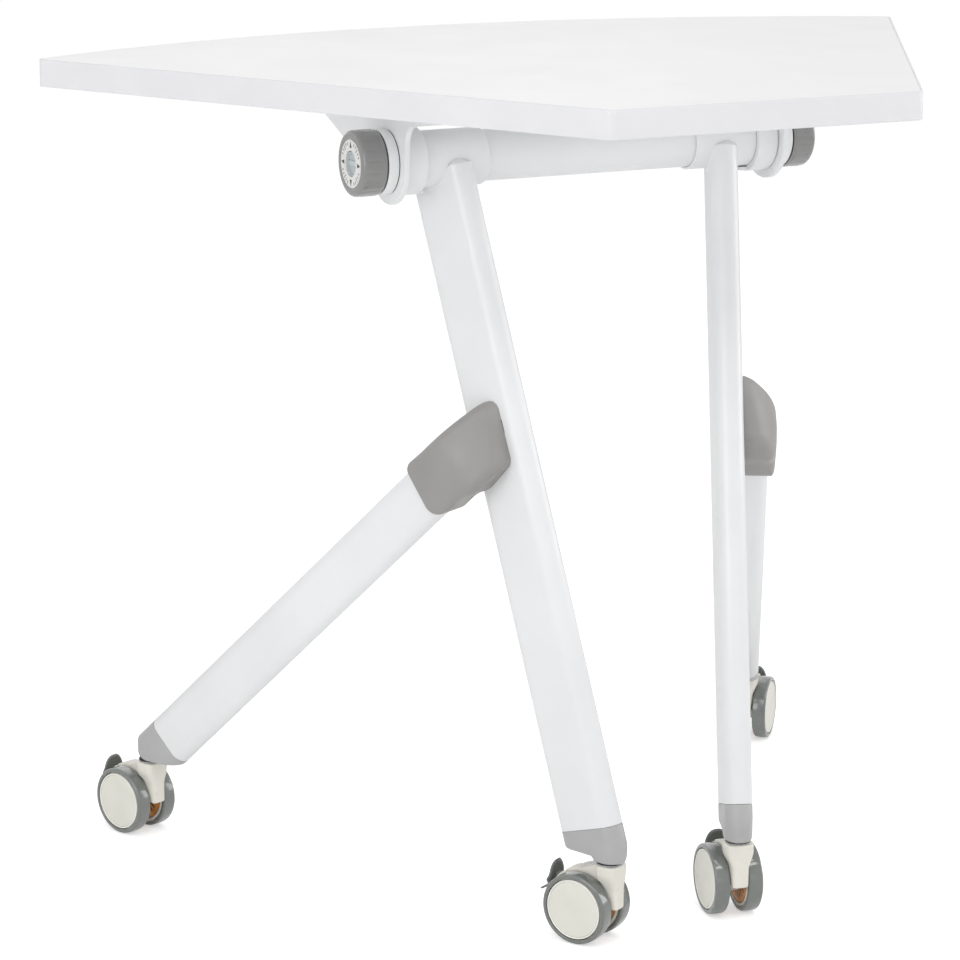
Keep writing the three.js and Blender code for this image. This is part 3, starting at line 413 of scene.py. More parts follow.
@dataclass(frozen=True)
class Finish:
    """A surface: two close colours in soft patches, a gloss that wanders and a fine relief."""

    name: str
    slot: str
    colour: str
    shade: str
    roughness: float
    grain_mm: float
    relief_mm: float
    patch_mm: float = 70.0
    gloss_spread: float = 0.08
    ior: float = 1.5
    metallic: float = 0.0
    coat: float = 0.0
    coat_roughness: float = 0.12
    relief_strength: float = 0.35

    def start(self) -> tuple[Material, Socket]:
        """An empty material with the piece's own coordinates."""
        material = emptied(bpy.data.materials.new(self.name))
        return material, add_node(material, "ShaderNodeTexCoord").outputs["Object"]

    def noise(self, material: Material, place: Socket, scale: float, detail: float, **more: float) -> Socket:
        """Soft noise over the piece, its scale in cells per metre."""
        settings = {"Scale": scale, "Detail": detail, **more}
        return add_node(material, "ShaderNodeTexNoise", settings, {"Vector": place}).outputs[0]

    def tint(self, material: Material, place: Socket) -> Socket:
        """The two colours, mixed by soft patches.

        Args:
            material: The material that gets the nodes.
            place: The piece's own coordinates.

        Returns:
            The colour's socket.
        """
        patch = self.noise(material, place, PER_METRE / self.patch_mm, 4.0)
        spread = add_node(material, "ShaderNodeMapRange", {1: 0.35, 2: 0.65}, {0: patch})
        colours = {"data_type": "RGBA", 6: linear(self.colour), 7: linear(self.shade)}
        return add_node(material, "ShaderNodeMix", colours, {0: spread.outputs[0]}).outputs[2]

    def gloss(self, material: Material, place: Socket) -> Socket:
        """A roughness that wanders about its mean, as handling leaves it.

        Args:
            material: The material that gets the nodes.
            place: The piece's own coordinates.

        Returns:
            The roughness's socket.
        """
        cloud = self.noise(material, place, 3.2 * PER_METRE / self.patch_mm, 3.0)
        reach = {1: 0.3, 2: 0.7, 3: self.roughness - self.gloss_spread, 4: self.roughness + self.gloss_spread}
        return add_node(material, "ShaderNodeMapRange", reach, {0: cloud}).outputs[0]

    def relief(self, material: Material, place: Socket) -> Socket:
        """The height of the fine relief; each kind of finish has its own."""
        return self.noise(material, place, PER_METRE / self.grain_mm, 2.0)

    def build(self) -> Material:
        """The finished material.

        Returns:
            The material.
        """
        material, place = self.start()
        bump = add_node(material, "ShaderNodeBump",
                        {"Strength": self.relief_strength, "Distance": self.relief_mm * MM},
                        {"Height": self.relief(material, place)})
        shader = add_node(material, "ShaderNodeBsdfPrincipled",
                          {"Metallic": self.metallic, "IOR": self.ior, "Coat Weight": self.coat,
                           "Coat Roughness": self.coat_roughness},
                          {"Base Color": self.tint(material, place), "Roughness": self.gloss(material, place),
                           "Normal": bump.outputs[0]})
        add_node(material, "ShaderNodeOutputMaterial", {}, {"Surface": shader.outputs[0]})
        return material


@dataclass(frozen=True)
class Melamine(Finish):
    """Pressed melamine paper: a pearl grain of small flat cells that takes the edge off reflections."""

    def relief(self, material: Material, place: Socket) -> Socket:
        """Rounded cells as the press plate leaves them."""
        cells = {"feature": "SMOOTH_F1", "Scale": PER_METRE / self.grain_mm, "Smoothness": 0.6}
        return add_node(material, "ShaderNodeTexVoronoi", cells, {"Vector": place}).outputs["Distance"]


@dataclass(frozen=True)
class PowderCoat(Finish):
    """Baked powder paint on steel: slow orange peel under a satin skin."""

    def relief(self, material: Material, place: Socket) -> Socket:
        """Orange peel: soft swells with little fine detail."""
        return self.noise(material, place, PER_METRE / self.grain_mm, 0.6, Distortion=0.3)


@dataclass(frozen=True)
class SparkMoulded(Finish):
    """Plastic from a spark-eroded mould: a crisp fine pitting over the whole skin."""

    def relief(self, material: Material, place: Socket) -> Socket:
        """Pits of two sizes, coarse noise broken by fine noise.

        Args:
            material: The material that gets the nodes.
            place: The piece's own coordinates.

        Returns:
            The height's socket.
        """
        coarse = self.noise(material, place, PER_METRE / self.grain_mm, 1.0)
        fine = self.noise(material, place, 2.7 * PER_METRE / self.grain_mm, 3.0)
        return add_node(material, "ShaderNodeMath", {"operation": "ADD"}, {0: coarse, 1: fine}).outputs[0]


@dataclass(frozen=True)
class PlatedSteel(Finish):
    """Zinc plating with its passivated film, which shifts between two tints in small clouds."""

    def relief(self, material: Material, place: Socket) -> Socket:
        """Fine crystals of the plating."""
        cells = {"Scale": PER_METRE / self.grain_mm}
        return add_node(material, "ShaderNodeTexVoronoi", cells, {"Vector": place}).outputs["Distance"]


class Paint(Enum):
    """The table's finishes."""

    # Pressed white board: almost flat, with a soft wide sheen.
    TOP = Melamine("Melamine_white_pearl", "white_laminate", "F4F4F4", "F1F1F1", 0.42, 0.9, 0.05, 180.0)
    # Extruded strip: cooler and a touch darker than the board, dull, with a fine tooth.
    EDGE = SparkMoulded("PVC_edge_band_white", "white_edge_band", "E6E6E8", "E2E2E5", 0.46, 0.7, 0.03)
    # White satin paint: soft highlights broken by orange peel.
    STEEL = PowderCoat("Powder_coat_white_satin", "white_paint", "EBECED", "E7E8E9", 0.33, 2.2, 0.06, 90.0,
                       0.05, coat=0.15)
    # Light grey covers: an even spark grain that keeps every highlight broad.
    COVER = SparkMoulded("ABS_spark_grey", "cover_grey", "989694", "949290", 0.4, 0.8, 0.04, 40.0)
    # The foot caps' paler grey, from another mould.
    CAP = SparkMoulded("ABS_spark_pale_grey", "cover_grey", "AFB0AF", "ABABAB", 0.4, 0.8, 0.05, 40.0)
    # Glossy mid grey knobs: clear highlights along the rim and the flutes.
    KNOB = SparkMoulded("ABS_gloss_mid_grey", "knob_grey", "858584", "818180", 0.16, 1.4, 0.012, 60.0, 0.04,
                        ior=1.6, coat=0.6)
    # Darker grey pedals with a dry moulded skin.
    PEDAL = SparkMoulded("PA_moulded_dark_grey", "pedal_grey", "70736F", "6B6E6A", 0.34, 0.9, 0.03, 30.0)
    # Pale insert in the knob's well: cool and glossy.
    WELL = Finish("PC_well_pale_grey", "dial_white", "C9D0D0", "C2C9CA", 0.16, 0.8, 0.01, 10.0, 0.04)
    # White insert under the marks.
    DIAL = Finish("PP_dial_white", "dial_white", "E6E6E4", "E1E1DF", 0.45, 0.5, 0.02, 12.0)
    # Printed marks, flat black.
    INK = Finish("Pad_print_black", "knob_grey", "2B2B2A", "313130", 0.5, 0.3, 0.01, 6.0)
    # Near-black pieces set into the gaps: painted shade, where the gaps would fall dark.
    FIBRE = SparkMoulded("Vulcanised_fibre_black", "knob_grey", "2A2A29", "323231", 0.7, 0.8, 0.05, 12.0)
    # Glossy soft treads: sharp light bands on a mid grey.
    TREAD = Finish("PU_tread_grey", "tread_grey", "727672", "6D716E", 0.14, 2.4, 0.012, 45.0, 0.03, coat=0.9)
    # Cream wheel discs, satin.
    CORE = SparkMoulded("PP_core_cream", "cream_nylon", "E2E1D8", "DDDCD2", 0.4, 0.7, 0.03, 25.0)
    # The discs' raised lips: whiter than the discs as a painted highlight along their edge, and glossier.
    LIP = SparkMoulded("PP_lip_white", "cream_nylon", "F4F3EC", "F0EFE7", 0.25, 0.7, 0.02, 25.0)
    # Ivory hoods, a little glossier than the discs.
    HOOD = SparkMoulded("PA6_hood_ivory", "ivory_nylon", "E6E3DA", "E1DED4", 0.34, 0.7, 0.03, 25.0)
    # Bright zinc: small clouds of two greys.
    ZINC = PlatedSteel("Zinc_bright_steel", "zinc_steel", "B9BBBD", "A9ABAE", 0.32, 0.9, 0.02, 6.0, 0.08,
                       metallic=1.0)
    # Yellow chromate over zinc: copper to straw, dull.
    BRAKE = PlatedSteel("Zinc_yellow_chromate_steel", "zinc_steel", "E3A35C", "C58243", 0.36, 0.8, 0.02, 7.0,
                        0.08, metallic=0.1)


@dataclass
class Palette:
    """The built materials, one for each finish, and the pieces made in them."""

    made: dict[Paint, Material] = field(default_factory=dict)

    def material(self, paint: Paint) -> Material:
        """A finish's material, built when it is first asked for."""
        if paint not in self.made:
            self.made[paint] = paint.value.build()
        return self.made[paint]

    def piece(self, name: str, mesh: Mesh, paint: Paint, body: str, node: str = "", word: str = "",
              sharp: float = 38.0) -> None:
        """Put a surface into the scene as one finished piece.

        Args:
            name: The piece's name, less its end or corner.
            mesh: Points in millimetres and faces.
            paint: Its finish.
            body: The body that it rides on.
            node: The node that it stands for, if any, less its end or corner.
            word: The end or corner that closes both names, if any.
            sharp: Edges that turn by more degrees than this stay sharp.
        """
        close = f"_{word}" if word else ""
        replaces = [node + close] if node else []
        data = bpy.data.meshes.new(name + close)
        data.from_pydata((mesh[0] * MM).tolist(), [], mesh[1])
        work = bmesh.new()
        work.from_mesh(data)
        bmesh.ops.remove_doubles(work, verts=work.verts, dist=WELD_DISTANCE)
        bmesh.ops.recalc_face_normals(work, faces=work.faces)
        work.to_mesh(data)
        work.free()
        data.shade_smooth()
        data.set_sharp_from_angle(angle=math.radians(sharp))
        data.materials.append(self.material(paint))
        piece = linked(name + close, data)
        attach(piece, body)
        if replaces:
            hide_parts(*replaces)
        LOG.info("%s: %d faces on %s", piece.name, len(data.polygons), body)

    def dress(self, node: str, paint: Paint) -> None:
        """Give a node of the frame a finish in place of its plain one.

        Args:
            node: The node's name.
            paint: The finish.
        """
        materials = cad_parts[node].data.materials
        materials.clear()
        materials.append(self.material(paint))


# The table


@dataclass(frozen=True)
class Fit:
    """Clearances that run through the table, in millimetres."""

    seat: float = 0.3
    glue: float = 0.2


FIT = Fit()


@dataclass(frozen=True)
class TableTop:
    """The sector board and its edge strip."""

    height: float = 750.0
    thickness: float = 24.0
    depth: float = 625.0
    ahead: float = 10.0
    chord: float = 880.0
    back_radius: float = 920.0
    side_angle: float = 30.0
    corner_radius: float = 8.0
    band: float = 2.0
    band_round: float = 1.2

    @property
    def underside(self) -> float:
        """Height of the board's lower face."""
        return self.height - self.thickness

    def outline(self, inset: Array) -> Array:
        """The sector drawn in by each inset: arcs about fixed centres, joined by straight runs.

        Args:
            inset: One inset for each row.

        Returns:
            Rows x points x 2.
        """
        middle = self.depth / 2 - self.back_radius
        slant = math.radians(self.side_angle)
        corner = np.array([self.chord / 2, middle + math.sqrt(self.back_radius**2 - (self.chord / 2) ** 2)])
        along = np.array([math.sin(slant), math.cos(slant)])
        guide = corner - self.corner_radius * np.array([math.cos(slant), -math.sin(slant)])
        front = guide + along * (self.corner_radius - self.depth / 2 - guide[1]) / along[1]
        lead = guide - [0, middle]
        half = lead @ along
        inner = self.back_radius - self.corner_radius
        back = guide + along * (math.sqrt(half**2 - lead @ lead + inner**2) - half)
        swing = math.atan2(back[1] - middle, back[0])
        arcs = [
            (front, self.corner_radius, -math.pi / 2, -slant, 10),
            (back, self.corner_radius, -slant, swing, 14),
            (np.array([0, middle]), self.back_radius, swing, math.pi - swing, 160),
            (back * [-1, 1], self.corner_radius, math.pi - swing, math.pi + slant, 14),
            (front * [-1, 1], self.corner_radius, math.pi + slant, 1.5 * math.pi, 10),
        ]
        angle = np.concatenate([np.linspace(a, b, n + 1) for _, _, a, b, n in arcs])
        centre = np.concatenate([np.tile(c, (n + 1, 1)) for c, _, _, _, n in arcs])
        radius = np.concatenate([np.full(n + 1, r) for _, r, _, _, n in arcs])
        reach = radius - np.asarray(inset, float)[:, None]
        points = centre + reach[..., None] * np.stack([np.cos(angle), np.sin(angle)], -1)
        return points - [0, self.ahead]

    def board(self) -> Mesh:
        """The board inside its strip."""
        loops = self.outline(np.full(2, self.band + FIT.glue))
        return grid(raised(loops, np.array([[self.underside], [self.height]])))

    def strip(self) -> Mesh:
        """The edge strip: a thin upright section with eased outer corners, carried round the outline.

        Returns:
            The piece's closed surface.
        """
        rounds = (self.band_round, 0.1, 0.1, self.band_round)
        section = fillet(np.array(box((0, self.band), (self.underside, self.height), rounds)), 5)
        return grid(raised(self.outline(section[:, 0]), section[:, 1:]), wrap_rows=True)

    def build(self, palette: Palette) -> None:
        """Make the board and its strip."""
        palette.piece("top_board", self.board(), Paint.TOP, "top", "top_panel", sharp=30)
        palette.piece("top_edge_strip", self.strip(), Paint.EDGE, "top", "edge_band", sharp=50)


@dataclass(frozen=True)
class Beam:
    """The round beam and the stack of pieces at one of its ends, from the leg outwards."""

    side: Side
    height: float = 670.0
    drop: float = 56.0
    radius: float = 22.5
    wall: float = 2.0
    sleeve_radius: float = 25.0
    sleeve_start: float = 102.5
    sleeve_end: float = 163.5
    hub_length: float = 20.4
    hub_radius: float = 30.0
    boss_radius: float = 14.7
    tongue_length: float = 7.0
    tongue_half: float = 8.0
    tongue_height: float = 3.2
    rod_radius: float = 6.0
    bracket_thickness: float = 5.0
    collar_thickness: float = 10.5
    collar_radius: float = 28.0
    knob_length: float = 23.2
    knob_radius: float = 28.8
    knob_round: float = 4.8
    grip_depth: float = 15.5
    flutes: int = 18
    flute_depth: float = 0.8
    dial_radius: float = 21.0
    dial_thickness: float = 0.8
    well_radius: float = 10.8
    well_depth: float = 4.5
    bar_half: float = 2.2
    groove: float = 0.5
    marks_round: int = 32
    mark_margins: Pair = (2.9, 1.6)
    mark_sunk: Pair = (0.17, 0.08)
    tick_half: float = 0.4
    short_tick: float = 2.8
    long_tick: float = 4.2
    pointer_half: float = 2.1

    @property
    def axes(self) -> Axes:
        """Z out along the beam from its middle, X up."""
        out = vec(self.side.value, 0, 0)
        return Axes(vec(0, 0, self.height), UP, np.cross(out, UP), out)

    @property
    def bore(self) -> float:
        """Radius of the holes for the clamp rod."""
        return self.rod_radius + FIT.seat

    @property
    def hub_start(self) -> float:
        """Where the hub begins."""
        return self.sleeve_end + FIT.seat

    @property
    def bracket_start(self) -> float:
        """Where the bracket's plate begins."""
        return self.hub_start + self.hub_length + FIT.seat

    @property
    def collar_start(self) -> float:
        """Where the clamp collar begins."""
        return self.bracket_start + self.bracket_thickness + FIT.seat

    @property
    def knob_start(self) -> float:
        """Where the knob begins."""
        return self.collar_start + self.collar_thickness + FIT.seat

    @property
    def knob_end(self) -> float:
        """The knob's outer face."""
        return self.knob_start + self.knob_length

    def tube(self) -> Mesh:
        """The beam itself, both ways from the middle."""
        radii, span = (self.radius - self.wall, self.radius), (-self.sleeve_end, self.sleeve_end)
        return hoop(radii, span, 4 * [0.2], self.axes)

    def sleeve(self) -> Mesh:
        """The leg's sleeve with eased ends."""
        radii, span = (self.radius + FIT.seat, self.sleeve_radius), (self.sleeve_start, self.sleeve_end)
        return hoop(radii, span, (0.3, 0.9, 0.6, 0.3), self.axes)

    def hub(self) -> Mesh:
        """The pivot hub with its boss, and the tongue that keys it to the leg.

        Returns:
            The piece's closed surfaces.
        """
        bore, start, end = self.bore, self.hub_start, self.hub_start + self.hub_length
        boss, boss_end = self.boss_radius, self.collar_start - 2 * FIT.seat
        drum = turned([(bore, start, 0.3), (self.hub_radius, start, 1.2), (self.hub_radius, end, 2.6),
                       (boss, end, 0.5), (boss, boss_end, 0.4), (bore, boss_end, 0.3)], self.axes)
        low = -self.sleeve_radius - FIT.seat - self.tongue_height
        below = Axes(self.axes.origin, self.axes.z, BACK, UP)
        reach = (start - self.tongue_length, start + self.hub_length / 2)
        tongue = box(reach, (-self.tongue_half, self.tongue_half), (3, 0.5, 0.5, 3))
        return joined(drum, slab(tongue, low, low + self.tongue_height, below, 0.7))

    def collar(self) -> Mesh:
        """The clamp collar: a thick white disc with eased rims, a groove short of its neighbours."""
        span = (self.collar_start + self.groove, self.collar_start + self.collar_thickness - self.groove)
        return hoop((self.bore, self.collar_radius), span, (0.2, 0.6, 0.8, 0.2), self.axes)

    def washers(self) -> Mesh:
        """Two near-black rings in the grooves on either side of the collar: painted shade for the dark lines
        there.

        Returns:
            The piece's closed surfaces.
        """
        radii, spare = (self.bore, self.collar_radius - 0.5), 0.05
        first = (self.collar_start - FIT.seat + spare, self.collar_start + self.groove - spare)
        second = (self.knob_start - FIT.seat - self.groove + spare, self.knob_start + self.groove - spare)
        return joined(*[hoop(radii, span, (0.05, 0.1, 0.1, 0.05), self.axes) for span in (first, second)])

    def knob(self) -> Mesh:
        """The lock knob: a fluted drum with a full outer rim, a sunk seat for the dial and a well.

        The drum's radius is its turned profile, less shallow flutes: the fourth power of a cosine
        of the angle, faded in behind the rim.

        Returns:
            The piece's closed surface.
        """
        start, end, radius = self.knob_start + self.groove, self.knob_end, self.knob_radius
        bore, grip = self.bore, self.knob_start + self.grip_depth + FIT.seat
        seat, well = end - self.dial_thickness - FIT.seat, end - self.well_depth
        dial = self.dial_radius + FIT.seat
        profile = fillet(np.array([
            (0, grip, 0), (bore, grip, 0.2), (bore, start, 0.3), (radius - 0.4, start, 1.0),
            (radius - 0.4, start + 2.2, 0.4), (radius, start + 2.8, 0.4), (radius, end - 7, 20),
            (radius - 0.3, end, self.knob_round), (self.dial_radius + 1.2, end, 0.3), (dial, end - 0.5, 0.1),
            (dial, seat, 0.1), (self.well_radius, seat, 0.3), (self.well_radius - 0.4, well, 1.0),
            (0, well, 0),
        ]), 5)
        steps, height = 12 * self.flutes, profile[:, 1]
        along = smooth_step(height, start + 2.8, start + 4.5) * (1 - smooth_step(height, end - 8, end - 4.5))
        wall = along * (profile[:, 0] > self.dial_radius + 3)
        flute = np.clip(np.cos(self.flutes * once_round(steps)), 0, 1) ** 4
        return revolve(profile, self.axes, steps, ring=True, cut=self.flute_depth * wall[:, None] * flute)

    def well(self) -> Mesh:
        """The pale insert that lines the knob's well: a cup with a cross bar.

        Returns:
            The piece's closed surfaces.
        """
        floor, rim, lip = self.knob_end - self.well_depth + 0.9, self.well_radius - 0.35, self.knob_end - 0.35
        cup = turned([(0, floor - 0.6, 0), (rim - 0.2, floor - 0.6, 0.3), (rim, lip, 0.25),
                      (rim - 0.8, lip, 0.3), (rim - 1.0, floor, 0.6), (0, floor, 0)], self.axes)
        bar = box((-self.bar_half, self.bar_half), (0.5 - rim, rim - 0.5), 4 * [0.4])
        return joined(cup, slab(bar, floor - 0.3, self.knob_end - self.well_depth / 2, self.axes, 0.6))

    def dial(self) -> Mesh:
        """The white ring let into the knob's face, with a raised lip round the well.

        Returns:
            The piece's closed surface.
        """
        inner, outer, lip = self.well_radius + FIT.seat, self.dial_radius, self.knob_end
        low, face = lip - self.dial_thickness, lip - 0.15
        return turned([(inner, low, 0.1), (outer, low, 0.1), (outer, face, 0.2), (inner + 1.8, face, 0.1),
                       (inner + 1.4, lip, 0.15), (inner, lip, 0.25)], self.axes)

    def mark(self, step: int) -> Mesh:
        """One printed mark: a pointer at each quarter, otherwise a tick.

        Args:
            step: The mark's number round the dial.

        Returns:
            A thin raised outline.
        """
        inner, outer = self.well_radius + self.mark_margins[0], self.dial_radius - self.mark_margins[1]
        angle = math.radians(step * 360 / self.marks_round)
        x, y = vec(math.cos(angle), math.sin(angle), 0), vec(-math.sin(angle), math.cos(angle), 0)
        turn = self.axes.place(np.stack([x, y])) - self.axes.origin
        own = Axes(self.axes.origin, turn[0], turn[1], self.axes.z)
        length = self.short_tick if step % 4 else self.long_tick
        shape = box((outer - length, outer), (-self.tick_half, self.tick_half), 4 * [0.05])
        if step % (self.marks_round // 4) == 0:
            half = self.pointer_half
            shape = [(inner, -half, 0.05), (outer + 0.4, 0, 0.1), (inner, half, 0.05)]
        low, high = (self.knob_end - sunk for sunk in self.mark_sunk)
        return slab(shape, low, high, own, 0.02, 2)

    def marks(self) -> Mesh:
        """The dial's printed marks, with a clear space beside each pointer."""
        count, quarter = self.marks_round, self.marks_round // 4
        return joined(*[self.mark(step) for step in range(count) if step % quarter not in (1, quarter - 1)])

    def build(self, palette: Palette) -> None:
        """Make the end's pieces; the left end brings the beam with it.

        Args:
            palette: The finishes, which make the pieces.
        """
        word, knob = self.side.word, f"knob_{self.side.word}"
        if self.side is Side.LEFT:
            palette.piece("beam", self.tube(), Paint.STEEL, "base", "beam_tube")
        palette.piece("sleeve", self.sleeve(), Paint.STEEL, "base", "leg_sleeve", word)
        palette.piece("hub", self.hub(), Paint.STEEL, "base", "pivot_hub", word)
        palette.piece("collar", self.collar(), Paint.STEEL, "base", "clamp_collar", word)
        # Near-black rings beside the collar: painted shade in its grooves.
        palette.piece("friction_washers", self.washers(), Paint.FIBRE, "base", "", word)
        palette.piece("knob_drum", self.knob(), Paint.KNOB, knob, "lock_knob", word)
        palette.piece("knob_well", self.well(), Paint.WELL, knob, "", word)
        palette.piece("dial", self.dial(), Paint.DIAL, knob, "knob_dial", word)
        palette.piece("dial_marks", self.marks(), Paint.INK, knob, "", word)
        palette.dress(f"clamp_rod_{word}", Paint.ZINC)


@dataclass(frozen=True)
class FlipBracket:
    """A bracket: a plate with a round eye and two arms, and a flange under the board."""

    beam: Beam
    eye_radius: float = 37.6
    front_arm: float = 150.0
    back_arm: float = 200.0
    tip: float = 5.0
    front_slope: float = 8.5
    back_slope: float = 20.8
    front_fillet: float = 18.0
    back_fillet: float = 7.0
    flange_width: float = 35.0
    flange_thickness: float = 4.5
    screws: tuple[float, ...] = (-128.0, -64.0, 70.0, 176.0)
    screw_inset: float = 0.62
    edge_round: float = 0.8
    flange_round: float = 7.0

    @property
    def top(self) -> float:
        """The flange's upper face above the beam's axis."""
        return self.beam.drop - FIT.seat

    def plate(self) -> Mesh:
        """The upright plate, drawn in Y and Z about the beam and carried along X.

        Returns:
            The piece's closed surface.
        """
        eye, low, slope = self.eye_radius, self.top - self.tip, math.radians(self.back_slope)
        meet = low - (self.front_arm - eye) * math.tan(math.radians(self.front_slope))
        turn = np.linspace(math.pi, 2 * math.pi - slope, 18)[1:]
        arc = [(eye * math.cos(t), eye * math.sin(t), eye) for t in turn]
        end = arc[-1][1] + (self.back_arm - arc[-1][0]) * math.tan(slope)
        corners = [
            (-self.front_arm, self.top, self.edge_round), (-self.front_arm, low, 1.5),
            (-eye, meet, self.front_fillet), *arc[:-1], (*arc[-1][:2], self.back_fillet),
            (self.back_arm, min(end, low), 1.5), (self.back_arm, self.top, self.edge_round),
        ]
        start = self.beam.bracket_start
        x = self.beam.side.value
        low_x, high_x = sorted((x * start, x * (start + self.beam.bracket_thickness)))
        axes = Axes(vec(0, 0, self.beam.height), BACK, UP, RIGHT)
        return slab(corners, low_x, high_x, axes, 0.9, 6, hole=self.beam.boss_radius + FIT.seat)

    def flange(self) -> Mesh:
        """The flat strip under the board, rounded at its inner corners.

        Returns:
            The piece's closed surface.
        """
        x, start = self.beam.side.value, self.beam.bracket_start
        edges = sorted((x * (start + 0.5), x * (start + self.beam.bracket_thickness - self.flange_width)))
        left, right = (self.flange_round, self.edge_round)[::x]
        corners = box(edges, (-self.front_arm, self.back_arm), (left, right, right, left))
        level = Axes(vec(0, 0, self.beam.height), RIGHT, BACK, UP)
        return slab(corners, self.top - self.flange_thickness, self.top, level, 0.7, 8)

    def screw(self, y: float) -> Mesh:
        """A pan head screw with a round socket, its head below the flange.

        Args:
            y: The screw's place along the depth.

        Returns:
            The piece's closed surface.
        """
        x = self.beam.bracket_start + self.beam.bracket_thickness - self.screw_inset * self.flange_width
        under = self.beam.height + self.top - self.flange_thickness
        axes = Axes(vec(self.beam.side.value * x, y, under), RIGHT, vec(0, -1, 0), vec(0, 0, -1))
        return turned([(0, -2, 0), (3, -2, 0.1), (3, 0, 0.2), (6.2, 0, 0.3), (6.0, 1.2, 0.8), (4.2, 3.0, 1.6),
                       (2.3, 3.1, 0.2), (2.3, 1.2, 0.1), (0, 1.0, 0)], axes, 40, 3)

    def build(self, palette: Palette) -> None:
        """Make the bracket and its screws.

        Args:
            palette: The finishes, which make the pieces.
        """
        word, plate = self.beam.side.word, joined(self.plate(), self.flange())
        palette.piece("bracket_plate", plate, Paint.STEEL, "top", "bracket", word)
        screws = joined(*[self.screw(y) for y in self.screws])
        palette.piece("bracket_screws", screws, Paint.ZINC, "top", "", word)


